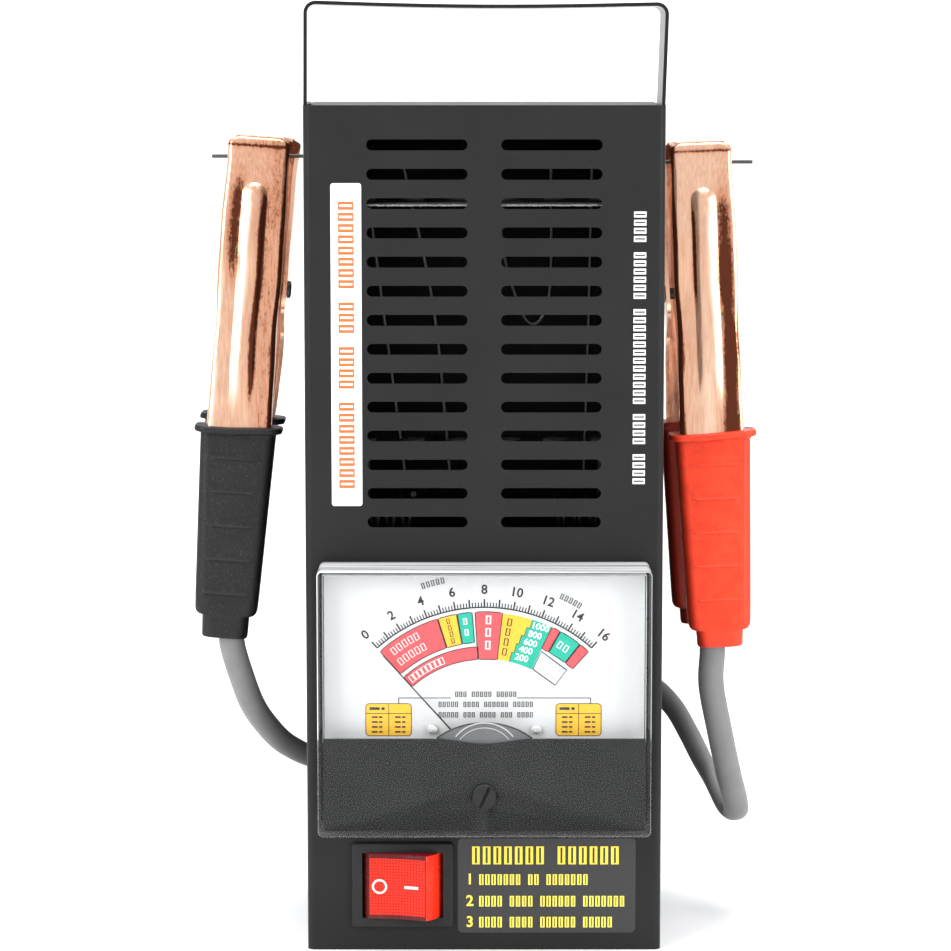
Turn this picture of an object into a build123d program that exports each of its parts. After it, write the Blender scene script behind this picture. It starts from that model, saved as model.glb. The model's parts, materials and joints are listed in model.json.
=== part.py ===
"""Hand-held battery load tester: sheet-metal case, panel meter, rocker switch and two copper clamps.

Frame: origin at the centre of the case's bottom face, +Z up, front panel facing -Y, +X to the
right when looking at the front.  All sizes are millimetres at real size.
"""
from build123d import *
import os
from math import cos, radians, sin

os.makedirs("parts", exist_ok=True)

# ---------------------------------------------------------------- driving dimensions
CASE_W, CASE_D, CASE_H = 108.6, 80.0, 258.5
SHEET = 0.8                       # case sheet steel
EDGE_R = 2.2                      # bend radius of the case's front vertical edges
FIT = 0.1                         # clearance between parts that are put together by hand
PAINT_GAP = 0.05                  # running clearance, and clearance of a fastener in its hole
FRONT = -CASE_D / 2               # y of the front panel's outer face
BACK = CASE_D / 2
SIDE = CASE_W / 2

# ventilation slots
SLOT_ROWS, SLOT_PITCH, SLOT_L, SLOT_H = 14, 8.75, 30.3, 3.3
SLOT_TOP_Z = 246.7
SLOT_SPREAD = 40.4                # between the two columns' centres

# back panel
BACK_SCREW_D, BACK_SCREW_HEAD_D = 3.9, 7.4
FLANGE_W = 10.0                   # return flange that the back panel is screwed to

# handle strap
STRAP_T, STRAP_W = 1.0, 28.0
STRAP_TOP_Z = 289.4
STRAP_FRONT = FRONT + 2.0
STRAP_FOOT_Z = CASE_H - 22.0
STRAP_BEND_R = 3.0

# panel meter
METER_W, METER_H, METER_Z = 100.0, 80.8, 80.6
METER_DEPTH = 21.0                # how far the cover stands out of the panel
METER_CORNER_R = 1.6
BASE_T = 2.0
COVER_T = 1.6
PIVOT_Z = 60.8                    # height of the pointer's pivot
SWEEP = 42.0                      # pointer angle either side of straight up
SCALE_R = 47.0                    # radius of the scale line
MASK_TOP_Z = 70.0                 # top of the black lower mask
ZERO_Z = 52.5                     # height of the zero-adjust screw
ZERO_D = 7.2
SPIGOT_Z, SPIGOT_R, SPIGOT_L = 70.0, 30.0, 8.0
METER_STUD_X, METER_STUD_L = 13.0, 18.0
CORNER_STUD_X, CORNER_STUD_Z = 43.0, 33.0

# rocker switch
SWITCH_X, SWITCH_Z = -25.0, 20.6
BEZEL_W, BEZEL_H, BEZEL_T = 31.2, 26.4, 1.8
ROCKER_R, ROCKER_HALF_Z = 12.3, 10.1
ROCKER_TILT = 11.0                # either side of its middle position
SWITCH_BODY_W, SWITCH_BODY_H, SWITCH_BODY_D = 27.6, 23.0, 18.0

# clamps
CLAMP_FRONT_W, CLAMP_REAR_W, COPPER_T = 19.4, 22.4, 1.2
RIVET_D, RIVET_HEAD_D, RIVET_HEAD_T = 3.6, 5.4, 1.2
JAW_GAP = 0.8                     # half the gap between the closed jaws' teeth
TIP_W, TOOTH_END_W = 46.3, 18.0   # jaw tip and last tooth, measured up from the rivet
HANDLE_END_W = -97.0              # end of the copper inside the grip
HALF_OUTER = [(24.5, HANDLE_END_W), (19.0, -42.0), (14.5, 0.0), (13.5, 18.0), (10.0, 34.0),
              (6.0, TIP_W)]       # (depth, height) down the back of one clamp half
HALF_EDGE = [(-3.5, 8.0), (-4.5, 0.0), (-3.5, -6.0), (9.0, -16.0), (14.0, -42.0),
             (19.5, HANDLE_END_W)]  # the pivot ear and the handle's free edge
RIB_HALF, RIB_RISE, RIB_TOP_W, RIB_LOW_W = 3.8, 0.9, 33.0, -39.5
GRIP_WALL, GRIP_DEPTH, GRIP_TOP_DEPTH, GRIP_END_DEPTH = 1.9, 9.6, 16.6, 21.8
LIP_RIM, LIP_DEPTH, LIP_T = 1.6, 13.0, 2.0
NECK_W, NECK_DEPTH = 14.6, 9.4
SLEEVE_TOP_W, SLEEVE_END_W, NECK_END_W = -43.7, -101.0, -107.4
BLACK_PIVOT = (-72.7, 0.0, 201.5)
BLACK_LEAN = 4.1                  # the top leans towards the case
RED_PIVOT = (68.8, 0.0, 199.8)
RED_LEAN = -2.3

# leads
CABLE_D = 8.0
BORE_SHIFT = 2.4                  # the cable sits off the neck's centre, towards the case
LEAD_HALF_GAP = 3.5               # half the gap where the lead is opened for its swing
BLACK_SWING = Vector(-73.0, -16.0, 75.0)
RED_SWING = Vector(71.4, -17.5, 75.0)
GROMMET_HOLE_D, GROMMET_FLANGE_D = 11.0, 15.0
BLACK_ENTRY = (4.0, 51.6)         # (y, z) of the grommet in the left side wall
RED_ENTRY = (26.0, 69.0)          # (y, z) of the grommet in the right side wall

# parking pegs that the clamps bite when they are not in use
PEG_D, PEG_COLLAR_D = 1.2, 4.0
BLACK_PEG_Z, RED_PEG_Z = 242.2, 240.4

# load element
PLATE_UPPER_Z, PLATE_LOWER_Z, PLATE_D = 227.8, 150.5, 56.0
PLATE_T = 1.2
WIRE_D, WIRE_X, WIRE_COUNT, WIRE_Y = 1.8, 15.0, 6, -6.0
BUSH_D, BUSH_L, BUSH_HEAD_D = 5.0, 4.0, 8.0
COIL_R, COIL_PITCH, COIL_L, COIL_Z = 6.0, 5.0, 20.0, 131.0
BOARD_W, BOARD_H, BOARD_T, BOARD_Z, BOARD_Y = 84.0, 20.0, 3.0, 112.0, 2.0
TERMINAL_X, TERMINAL_D, TERMINAL_NUT_D = 26.0, 6.0, 10.0


def front_plane(y):
    """Plane facing the viewer at depth y; its own x is X and its own y is Z."""
    return Plane.XZ.offset(-y)


def save(part, name):
    """Label a finished piece and write it as one STEP node."""
    part.label = name
    export_step(part, f"parts/{name}.step")


# ================================================================ case
back_screw_spots = [(x, z) for x in (-(SIDE - 6), SIDE - 6) for z in (16, CASE_H - 32)]
corner_stud_spots = [(x, METER_Z + z) for x in (-CORNER_STUD_X, CORNER_STUD_X)
                     for z in (-CORNER_STUD_Z, CORNER_STUD_Z)]

with BuildPart() as front_shell:
    with BuildSketch(Plane.XY):
        Rectangle(CASE_W, CASE_D)
    extrude(amount=CASE_H)
    fillet(front_shell.edges().filter_by(Axis.Z).group_by(Axis.Y)[0], EDGE_R)
    offset(amount=-SHEET, openings=front_shell.faces().sort_by(Axis.Y)[-1])
    # return flanges down both sides of the open back
    flange_x = SIDE - SHEET - FLANGE_W / 2
    with BuildSketch(front_plane(BACK - 2 * SHEET - FIT)):
        with Locations((-flange_x, CASE_H / 2), (flange_x, CASE_H / 2)):
            Rectangle(FLANGE_W, CASE_H - 2 * SHEET)
    extrude(amount=SHEET)
    with BuildSketch(front_plane(BACK)):
        with Locations(*back_screw_spots):
            Circle(BACK_SCREW_D / 2 + PAINT_GAP)
    extrude(amount=4 * SHEET, mode=Mode.SUBTRACT)
    # everything that is cut through the front panel
    slot_mid_z = SLOT_TOP_Z - SLOT_PITCH * (SLOT_ROWS - 1) / 2
    with BuildSketch(front_plane(FRONT)):
        with Locations((0, slot_mid_z)):
            with GridLocations(SLOT_SPREAD, SLOT_PITCH, 2, SLOT_ROWS):
                SlotOverall(SLOT_L, SLOT_H)
        with Locations((0, SPIGOT_Z)):
            Circle(SPIGOT_R + FIT)
        with Locations(*corner_stud_spots):
            Circle(1.5 + PAINT_GAP)
        with Locations((SWITCH_X, SWITCH_Z)):
            Rectangle(SWITCH_BODY_W + 2 * FIT, SWITCH_BODY_H + 2 * FIT)
    extrude(amount=-2 * SHEET, mode=Mode.SUBTRACT)
    # notches in the top that the handle strap goes down through
    with BuildSketch(Plane.XY.offset(CASE_H)):
        strap_x = SIDE - SHEET - STRAP_T / 2 - FIT
        with Locations((-strap_x, STRAP_FRONT + STRAP_W / 2), (strap_x, STRAP_FRONT + STRAP_W / 2)):
            Rectangle(STRAP_T + 2 * FIT, STRAP_W + 2 * FIT)
    extrude(amount=-2 * SHEET, mode=Mode.SUBTRACT)
    # side walls: cable grommet, parking peg and handle screws
    with BuildSketch(Plane.YZ.offset(-SIDE)):
        with Locations(BLACK_ENTRY):
            Circle(GROMMET_HOLE_D / 2)
        with Locations((0, BLACK_PEG_Z)):
            Circle(PEG_D / 2 + PAINT_GAP)
    extrude(amount=2 * SHEET, mode=Mode.SUBTRACT)
    with BuildSketch(Plane.YZ.offset(SIDE)):
        with Locations(RED_ENTRY):
            Circle(GROMMET_HOLE_D / 2)
        with Locations((0, RED_PEG_Z)):
            Circle(PEG_D / 2 + PAINT_GAP)
    extrude(amount=-2 * SHEET, mode=Mode.SUBTRACT)
save(front_shell.part, "front_shell")

with BuildPart() as back_panel:
    with BuildSketch(front_plane(BACK - SHEET - FIT)):
        with Locations((0, CASE_H / 2)):
            Rectangle(CASE_W - 2 * SHEET - 2 * FIT, CASE_H - 2 * SHEET - 2 * FIT)
        with Locations(*back_screw_spots):
            Circle(BACK_SCREW_D / 2 + PAINT_GAP, mode=Mode.SUBTRACT)
    extrude(amount=-SHEET)
save(back_panel.part, "back_panel")

with BuildPart() as back_screws:
    with BuildSketch(front_plane(BACK - FIT)):
        with Locations(*back_screw_spots):
            Circle(BACK_SCREW_HEAD_D / 2)
    extrude(amount=-2.2)
    fillet(back_screws.edges().group_by(Axis.Y)[-1], 1.0)
    with BuildSketch(front_plane(BACK - FIT)):
        with Locations(*back_screw_spots):
            Circle(BACK_SCREW_D / 2)
    extrude(amount=6)
    with BuildSketch(front_plane(BACK - FIT + 2.2)):
        with Locations(*back_screw_spots):
            Rectangle(4.4, 0.9)
            Rectangle(0.9, 4.4)
    extrude(amount=1.1, mode=Mode.SUBTRACT)
save(back_screws.part, "back_screws")

with BuildPart() as handle_strap:
    strap_half = SIDE - SHEET - FIT
    strap_mid_z = (STRAP_FOOT_Z + STRAP_TOP_Z) / 2
    strap_h = STRAP_TOP_Z - STRAP_FOOT_Z
    with BuildSketch(front_plane(STRAP_FRONT)):
        with Locations((0, strap_mid_z)):
            Rectangle(2 * strap_half, strap_h)
    extrude(amount=-STRAP_W)
    fillet(handle_strap.edges().filter_by(Axis.Y).group_by(Axis.Z)[-1], STRAP_BEND_R)
    with BuildSketch(front_plane(STRAP_FRONT)):
        with Locations((0, strap_mid_z - STRAP_T)):
            Rectangle(2 * (strap_half - STRAP_T), strap_h)
    extrude(amount=-STRAP_W, mode=Mode.SUBTRACT)
    inner_corners = handle_strap.edges().filter_by(Axis.Y).filter_by(
        lambda e: abs(e.center().Z - (STRAP_TOP_Z - STRAP_T)) < 0.01)
    fillet(inner_corners, STRAP_BEND_R - STRAP_T)
save(handle_strap.part, "handle_strap")

with BuildPart() as cable_grommets:
    for sign, entry in ((-1, BLACK_ENTRY), (1, RED_ENTRY)):
        with BuildSketch(Plane.YZ.offset(sign * SIDE)):
            with Locations(entry):
                Circle(GROMMET_FLANGE_D / 2)
        extrude(amount=sign * 1.8)
        with BuildSketch(Plane.YZ.offset(sign * (SIDE - SHEET))):
            with Locations(entry):
                Circle(GROMMET_FLANGE_D / 2)
        extrude(amount=-sign * 1.8)
        with BuildSketch(Plane.YZ.offset(sign * SIDE)):
            with Locations(entry):
                Circle(GROMMET_HOLE_D / 2 - PAINT_GAP)
        extrude(amount=-sign * SHEET)
        with BuildSketch(Plane.YZ.offset(sign * (SIDE + 4))):
            with Locations(entry):
                Circle(CABLE_D / 2 + PAINT_GAP)
        extrude(amount=-sign * 10, mode=Mode.SUBTRACT)
save(cable_grommets.part, "cable_grommets")

with BuildPart() as clamp_pegs:
    for sign, peg_z, length in ((-1, BLACK_PEG_Z, 31.0), (1, RED_PEG_Z, 30.0)):
        with BuildSketch(Plane.YZ.offset(sign * (SIDE - SHEET))):
            with Locations((0, peg_z)):
                Circle(PEG_D / 2)
        extrude(amount=sign * length)
        with BuildSketch(Plane.YZ.offset(sign * (SIDE - SHEET))):
            with Locations((0, peg_z)):
                Circle(PEG_COLLAR_D / 2)
        extrude(amount=-sign * 1.0)
save(clamp_pegs.part, "clamp_pegs")

# ================================================================ labels on the front
LABEL_T = 0.15
with BuildPart() as rating_label:
    with BuildSketch(front_plane(FRONT)):
        with Locations((-41.5, 186.6)):
            RectangleRounded(9.2, 97.4, 0.8)
    extrude(amount=LABEL_T)
save(rating_label.part, "rating_label")

with BuildPart() as instruction_label:
    with BuildSketch(front_plane(FRONT)):
        with Locations((19.2, 20.2)):
            RectangleRounded(54.6, 29.6, 1.6)
    extrude(amount=LABEL_T)
save(instruction_label.part, "instruction_label")

# ================================================================ panel meter
COVER_FRONT = FRONT - METER_DEPTH
BASE_FRONT = FRONT - BASE_T
MASK_T = 1.0
MASK_FRONT = COVER_FRONT + COVER_T
MASK_BACK = MASK_FRONT + MASK_T
DIAL_Y, DIAL_T = -52.6, 0.5       # front face and thickness of the dial plate

with BuildPart() as meter_base:
    with BuildSketch(front_plane(FRONT)):
        with Locations((0, METER_Z)):
            RectangleRounded(METER_W, METER_H, METER_CORNER_R)
    extrude(amount=BASE_T)
    with BuildSketch(front_plane(FRONT)):
        with Locations((0, SPIGOT_Z)):
            Circle(SPIGOT_R)
            Circle(SPIGOT_R - 2.0, mode=Mode.SUBTRACT)
    extrude(amount=-SPIGOT_L)
    with BuildSketch(front_plane(BASE_FRONT)):
        with Locations((0, PIVOT_Z)):
            Circle(1.3)
    extrude(amount=-1.5, mode=Mode.SUBTRACT)
save(meter_base.part, "meter_base")

with BuildPart() as meter_studs:
    with BuildSketch(front_plane(FRONT)):
        with Locations((-METER_STUD_X, SPIGOT_Z), (METER_STUD_X, SPIGOT_Z)):
            Circle(2.5)
    extrude(amount=-METER_STUD_L)
    with BuildSketch(front_plane(FRONT)):
        with Locations(*corner_stud_spots):
            Circle(1.5)
    extrude(amount=-6)
save(meter_studs.part, "meter_studs")

with BuildPart() as meter_nuts:
    with BuildSketch(front_plane(FRONT + SHEET)):
        with Locations(*corner_stud_spots):
            RegularPolygon(3.1, 6)
            Circle(1.5 + PAINT_GAP, mode=Mode.SUBTRACT)
    extrude(amount=-2.4)
    with BuildSketch(front_plane(FRONT + 4)):
        with Locations((-METER_STUD_X, SPIGOT_Z), (METER_STUD_X, SPIGOT_Z)):
            RegularPolygon(4.6, 6)
            Circle(2.5 + PAINT_GAP, mode=Mode.SUBTRACT)
    extrude(amount=-3.5)
save(meter_nuts.part, "meter_nuts")

with BuildPart() as meter_cover:
    with BuildSketch(front_plane(BASE_FRONT)):
        with Locations((0, METER_Z)):
            RectangleRounded(METER_W, METER_H, METER_CORNER_R)
    extrude(amount=METER_DEPTH - BASE_T)
    fillet(meter_cover.edges().group_by(Axis.Y)[0], 0.8)
    with BuildSketch(front_plane(BASE_FRONT)):
        with Locations((0, METER_Z)):
            Rectangle(METER_W - 2 * COVER_T, METER_H - 2 * COVER_T)
    extrude(amount=METER_DEPTH - BASE_T - COVER_T, mode=Mode.SUBTRACT)
    with BuildSketch(front_plane(COVER_FRONT)):
        with Locations((0, ZERO_Z)):
            Circle(ZERO_D / 2 + PAINT_GAP)
    extrude(amount=-2 * COVER_T, mode=Mode.SUBTRACT)
save(meter_cover.part, "meter_cover")

MASK_BOTTOM_Z = METER_Z - METER_H / 2 + COVER_T + FIT
with BuildPart() as meter_mask:
    with BuildSketch(front_plane(MASK_FRONT)):
        with Locations((0, (MASK_TOP_Z + MASK_BOTTOM_Z) / 2)):
            Rectangle(METER_W - 2 * COVER_T - 2 * FIT, MASK_TOP_Z - MASK_BOTTOM_Z)
        with Locations((0, ZERO_Z)):
            Circle(ZERO_D / 2 + PAINT_GAP, mode=Mode.SUBTRACT)
    extrude(amount=-MASK_T)
save(meter_mask.part, "meter_mask")

SHIELD_R, SHIELD_WALL, SHIELD_DEPTH = 13.0, 0.8, 3.0
ZERO_COLLAR_D = 9.2
with BuildPart() as movement_shield:
    with BuildSketch(front_plane(MASK_BACK)):
        with Locations((0, PIVOT_Z)):
            Circle(SHIELD_R)
    extrude(amount=-SHIELD_DEPTH)
    with BuildSketch(front_plane(MASK_BACK + SHIELD_WALL)):
        with Locations((0, PIVOT_Z)):
            Circle(SHIELD_R - SHIELD_WALL)
    extrude(amount=-SHIELD_DEPTH, mode=Mode.SUBTRACT)
    with BuildSketch(front_plane(MASK_BACK)):
        with Locations((0, ZERO_Z)):
            Circle(ZERO_COLLAR_D / 2 + 2 * FIT)
    extrude(amount=-SHIELD_DEPTH, mode=Mode.SUBTRACT)
save(movement_shield.part, "movement_shield")

DIAL_TOP_Z, DIAL_BOTTOM_Z, DIAL_HALF_W, DIAL_CUT_R = 118.8, 67.0, 48.2, 14.0
with BuildPart() as dial_plate:
    with BuildSketch(front_plane(DIAL_Y + DIAL_T)):
        with Locations((0, (DIAL_TOP_Z + DIAL_BOTTOM_Z) / 2)):
            RectangleRounded(2 * DIAL_HALF_W, DIAL_TOP_Z - DIAL_BOTTOM_Z, 1.0)
        with Locations((0, PIVOT_Z)):
            Circle(DIAL_CUT_R - 3.4, mode=Mode.SUBTRACT)
    extrude(amount=DIAL_T)
save(dial_plate.part, "dial_plate")

DIAL_SCREW_X, DIAL_SCREW_Z = 15.7, 71.8
with BuildPart() as dial_pillars:
    with BuildSketch(front_plane(BASE_FRONT)):
        with Locations((-DIAL_SCREW_X, DIAL_SCREW_Z + 6), (DIAL_SCREW_X, DIAL_SCREW_Z + 6),
                       (-40, 110), (40, 110)):
            Circle(2.0)
    extrude(amount=BASE_FRONT - DIAL_Y - DIAL_T)
save(dial_pillars.part, "dial_pillars")

with BuildPart() as dial_screws:
    with BuildSketch(front_plane(DIAL_Y)):
        with Locations((-DIAL_SCREW_X, DIAL_SCREW_Z), (DIAL_SCREW_X, DIAL_SCREW_Z)):
            Circle(1.5)
    extrude(amount=0.9)
    with BuildSketch(front_plane(DIAL_Y - 0.9)):
        with Locations((-DIAL_SCREW_X, DIAL_SCREW_Z), (DIAL_SCREW_X, DIAL_SCREW_Z)):
            Rectangle(2.2, 0.5)
    extrude(amount=-0.4, mode=Mode.SUBTRACT)
save(dial_screws.part, "dial_screws")

# moving-coil movement, all centred on the pointer's pivot
MAGNET_R, MAGNET_BORE_R, MAGNET_L = 15.0, 8.0, 7.4
CORE_R, CORE_L, CORE_FRONT = 4.5, 5.4, -49.3
COIL_HALF, COIL_BAR, COIL_FRONT, COIL_BACK, COIL_T = 6.6, 1.4, -50.7, -42.9, 2.4
STUB_D = 1.0
BRIDGE_Y, BRIDGE_T, BRIDGE_HALF = -57.3, 0.8, 10.5

with BuildPart() as magnet_ring:
    with BuildSketch(front_plane(BASE_FRONT)):
        with Locations((0, PIVOT_Z)):
            Circle(MAGNET_R)
            Circle(MAGNET_BORE_R, mode=Mode.SUBTRACT)
    extrude(amount=MAGNET_L)
save(magnet_ring.part, "magnet_ring")

with BuildPart() as soft_iron_core:
    with BuildSketch(front_plane(CORE_FRONT + CORE_L)):
        with Locations((0, PIVOT_Z)):
            Circle(CORE_R)
            Rectangle(3.0, 2 * (MAGNET_BORE_R - 0.15))
    extrude(amount=CORE_L)
save(soft_iron_core.part, "soft_iron_core")

pivot_rest = Plane(origin=(0, 0, PIVOT_Z), x_dir=(cos(radians(-SWEEP)), 0, -sin(radians(-SWEEP))),
                   z_dir=(0, -1, 0))
with BuildPart() as moving_coil:
    with BuildSketch(pivot_rest.offset(-COIL_BACK)):
        Rectangle(2 * COIL_HALF, COIL_T)
    extrude(amount=COIL_BACK - COIL_FRONT)
    with BuildSketch(pivot_rest.offset(-COIL_BACK + 0.8)):
        Rectangle(2 * (COIL_HALF - COIL_BAR), COIL_T)
    extrude(amount=COIL_BACK - COIL_FRONT - 1.6, mode=Mode.SUBTRACT)
save(moving_coil.part, "moving_coil")

with BuildPart() as pivot_stubs:
    with BuildSketch(pivot_rest.offset(-COIL_FRONT)):
        Circle(STUB_D / 2)
    extrude(amount=5.7)
    with BuildSketch(pivot_rest.offset(-COIL_BACK)):
        Circle(STUB_D / 2)
    extrude(amount=-1.0)
save(pivot_stubs.part, "pivot_stubs")

POINTER_Y, POINTER_T, POINTER_TAIL, POINTER_HUB_R = -54.7, 0.3, 8.0, 1.7
with BuildPart() as pointer:
    with BuildSketch(pivot_rest.offset(-POINTER_Y)):
        with BuildLine():
            Polyline((-0.8, 0), (-0.35, SCALE_R - 1.5), (0.35, SCALE_R - 1.5), (0.8, 0),
                     (0.6, -POINTER_TAIL), (-0.6, -POINTER_TAIL), close=True)
        make_face()
        Circle(POINTER_HUB_R)
        Circle(STUB_D / 2 + 0.01, mode=Mode.SUBTRACT)
    extrude(amount=POINTER_T)
save(pointer.part, "pointer")

with BuildPart() as balance_weight:
    with BuildSketch(pivot_rest.offset(-POINTER_Y)):
        with Locations((0, -POINTER_TAIL + 1.6)):
            Rectangle(2.8, 2.4)
    extrude(amount=-0.8)
save(balance_weight.part, "balance_weight")

with BuildPart() as movement_bridge:
    with BuildSketch(front_plane(BRIDGE_Y + BRIDGE_T)):
        with Locations((0, PIVOT_Z)):
            Rectangle(2 * BRIDGE_HALF, 3.4)
            Circle(1.25, mode=Mode.SUBTRACT)
    extrude(amount=BRIDGE_T)
    with BuildSketch(front_plane(BRIDGE_Y + BRIDGE_T)):
        with Locations((-BRIDGE_HALF + 0.75, PIVOT_Z), (BRIDGE_HALF - 0.75, PIVOT_Z)):
            Rectangle(1.5, 3.4)
    extrude(amount=-(BASE_FRONT - MAGNET_L - BRIDGE_Y - BRIDGE_T))
save(movement_bridge.part, "movement_bridge")

with BuildPart() as jewel_screws:
    with BuildSketch(front_plane(BRIDGE_Y + BRIDGE_T)):
        with Locations((0, PIVOT_Z)):
            Circle(1.2)
    extrude(amount=1.0)
    with BuildSketch(front_plane(BASE_FRONT + 1.5)):
        with Locations((0, PIVOT_Z)):
            Circle(1.25)
    extrude(amount=1.4)
save(jewel_screws.part, "jewel_screws")

LEVER_Y, LEVER_T, FORK_HALF = -55.6, 0.5, 0.56
PIN_D, PIN_OFFSET = 1.0, 1.8
with BuildPart() as zero_lever:
    with BuildSketch(front_plane(LEVER_Y)):
        with Locations((0, PIVOT_Z)):
            Circle(2.2)
        with Locations((0, PIVOT_Z - 4.2)):
            Rectangle(2.6, 6.2)
        with Locations((0, PIVOT_Z - 5.6)):
            Rectangle(2 * FORK_HALF, 5.0, mode=Mode.SUBTRACT)
        with Locations((0, PIVOT_Z)):
            Circle(0.9, mode=Mode.SUBTRACT)
    extrude(amount=LEVER_T)
save(zero_lever.part, "zero_lever")

with BuildPart() as hairspring:
    spring_y = -51.9
    with BuildSketch(front_plane(spring_y)):
        with Locations((0, PIVOT_Z)):
            for ring in range(4):
                Circle(1.6 + 0.9 * ring)
                Circle(1.45 + 0.9 * ring, mode=Mode.SUBTRACT)
            with Locations((0, 2.9)):
                Rectangle(0.15, 2.9)
    extrude(amount=0.4)
save(hairspring.part, "hairspring")

SLOT_LEAN = -65.0
with BuildPart() as zero_screw:
    with BuildSketch(front_plane(MASK_BACK)):
        with Locations((0, ZERO_Z)):
            Circle(ZERO_D / 2)
    extrude(amount=MASK_BACK - COVER_FRONT + 1.0)
    fillet(zero_screw.edges().group_by(Axis.Y)[0], 0.4)
    with BuildSketch(front_plane(COVER_FRONT - 1.0)):
        with Locations(Location((0, ZERO_Z), -SLOT_LEAN)):
            Rectangle(ZERO_D + 1, 1.0)
    extrude(amount=-1.2, mode=Mode.SUBTRACT)
    with BuildSketch(front_plane(MASK_BACK)):
        with Locations((0, ZERO_Z)):
            Circle(ZERO_COLLAR_D / 2)
    extrude(amount=-SHIELD_WALL)
    with BuildSketch(front_plane(MASK_BACK + SHIELD_WALL)):
        with Locations((0, ZERO_Z + PIN_OFFSET)):
            Circle(PIN_D / 2)
    extrude(amount=-2.3)
save(zero_screw.part, "zero_screw")

# ================================================================ rocker switch
SWITCH_PIVOT_Y = -36.0
ROCKER_PIN_D = 2.4
with BuildPart() as switch_frame:
    with BuildSketch(front_plane(FRONT)):
        with Locations((SWITCH_X, SWITCH_Z)):
            RectangleRounded(BEZEL_W, BEZEL_H, 1.2)
    extrude(amount=BEZEL_T)
    fillet(switch_frame.edges().group_by(Axis.Y)[0], 0.6)
    with BuildSketch(front_plane(FRONT)):
        with Locations((SWITCH_X, SWITCH_Z)):
            Rectangle(SWITCH_BODY_W, SWITCH_BODY_H)
    extrude(amount=-SWITCH_BODY_D)
    with BuildSketch(front_plane(FRONT - BEZEL_T)):
        with Locations((SWITCH_X, SWITCH_Z)):
            Rectangle(2 * (ROCKER_R + FIT), 2 * (ROCKER_HALF_Z + FIT))
    extrude(amount=-(SWITCH_BODY_D + BEZEL_T - 1.5), mode=Mode.SUBTRACT)
    with BuildSketch(Plane.XY.offset(SWITCH_Z - SWITCH_BODY_H / 2 + 0.2)):
        with Locations((SWITCH_X, SWITCH_PIVOT_Y)):
            Circle(ROCKER_PIN_D / 2 + PAINT_GAP)
    extrude(amount=SWITCH_BODY_H - 0.4, mode=Mode.SUBTRACT)
save(switch_frame.part, "switch_frame")

CORNER_ANGLE = 44.0               # rocker's front corners, from its width direction
rocker_rest = Plane(origin=(SWITCH_X, SWITCH_PIVOT_Y, SWITCH_Z - ROCKER_HALF_Z),
                    x_dir=(cos(radians(-ROCKER_TILT)), sin(radians(-ROCKER_TILT)), 0), z_dir=(0, 0, 1))
corner_x = ROCKER_R * cos(radians(CORNER_ANGLE))
corner_y = -ROCKER_R * sin(radians(CORNER_ANGLE))
with BuildPart() as rocker:
    with BuildSketch(rocker_rest):
        with BuildLine():
            face_line = ThreePointArc((-corner_x, corner_y), (0, corner_y + 0.9), (corner_x, corner_y))
            right_end = CenterArc((0, 0), ROCKER_R, -CORNER_ANGLE, CORNER_ANGLE + 4)
            left_end = CenterArc((0, 0), ROCKER_R, 176, CORNER_ANGLE + 4)
            Polyline(right_end @ 1, (7.5, 3.0), (1.6, 3.4), (1.2, 5.6), (-1.2, 5.6), (-1.6, 3.4),
                     (-7.5, 3.0), left_end @ 0)
        make_face()
    extrude(amount=2 * ROCKER_HALF_Z)
    fillet(rocker.edges().filter_by(Axis.Z).group_by(Axis.Y)[0], 0.5)
    with BuildSketch(rocker_rest.offset(-1.0)):
        Circle(ROCKER_PIN_D / 2)
    extrude(amount=2 * ROCKER_HALF_Z + 2.0)
save(rocker.part, "rocker")

SEESAW_Y, SEESAW_T, SEESAW_L = -28.4, 0.6, 18.0
SEESAW_TILT = 8.0
seesaw_rest = Plane(origin=(SWITCH_X, SEESAW_Y, SWITCH_Z - 3.5),
                    x_dir=(cos(radians(SEESAW_TILT)), sin(radians(SEESAW_TILT)), 0), z_dir=(0, 0, 1))
with BuildPart() as contact_seesaw:
    with BuildSketch(seesaw_rest):
        Rectangle(SEESAW_L, SEESAW_T)
    extrude(amount=7)
save(contact_seesaw.part, "contact_seesaw")

TERMINAL_Y = FRONT + SWITCH_BODY_D
with BuildPart() as switch_terminals:
    with BuildSketch(front_plane(TERMINAL_Y)):
        with Locations((SWITCH_X - 9, SWITCH_Z), (SWITCH_X, SWITCH_Z), (SWITCH_X + 9, SWITCH_Z)):
            Rectangle(0.8, 6.3)
    extrude(amount=-8)
save(switch_terminals.part, "switch_terminals")

# ================================================================ load element
wire_spots = [((i - (WIRE_COUNT - 1) / 2) * WIRE_X, WIRE_Y) for i in range(WIRE_COUNT)]
for plate_name, plate_z in (("upper_load_plate", PLATE_UPPER_Z), ("lower_load_plate", PLATE_LOWER_Z)):
    with BuildPart() as load_plate:
        with BuildSketch(Plane.XY.offset(plate_z)):
            Rectangle(CASE_W - 2 * SHEET - FIT, PLATE_D)
            with Locations(*wire_spots):
                Circle(BUSH_D / 2 + PAINT_GAP, mode=Mode.SUBTRACT)
        extrude(amount=PLATE_T)
        with BuildSketch(Plane.XY.offset(plate_z)):
            with Locations((-(SIDE - SHEET - FIT - PLATE_T / 2), 0), (SIDE - SHEET - FIT - PLATE_T / 2, 0)):
                Rectangle(PLATE_T, PLATE_D - 8)
        extrude(amount=-10)
        with BuildSketch(Plane.YZ):
            with Locations((0, BLACK_PEG_Z)):
                Circle(PEG_COLLAR_D)
        extrude(amount=SIDE, both=True, mode=Mode.SUBTRACT)
    save(load_plate.part, plate_name)

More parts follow.
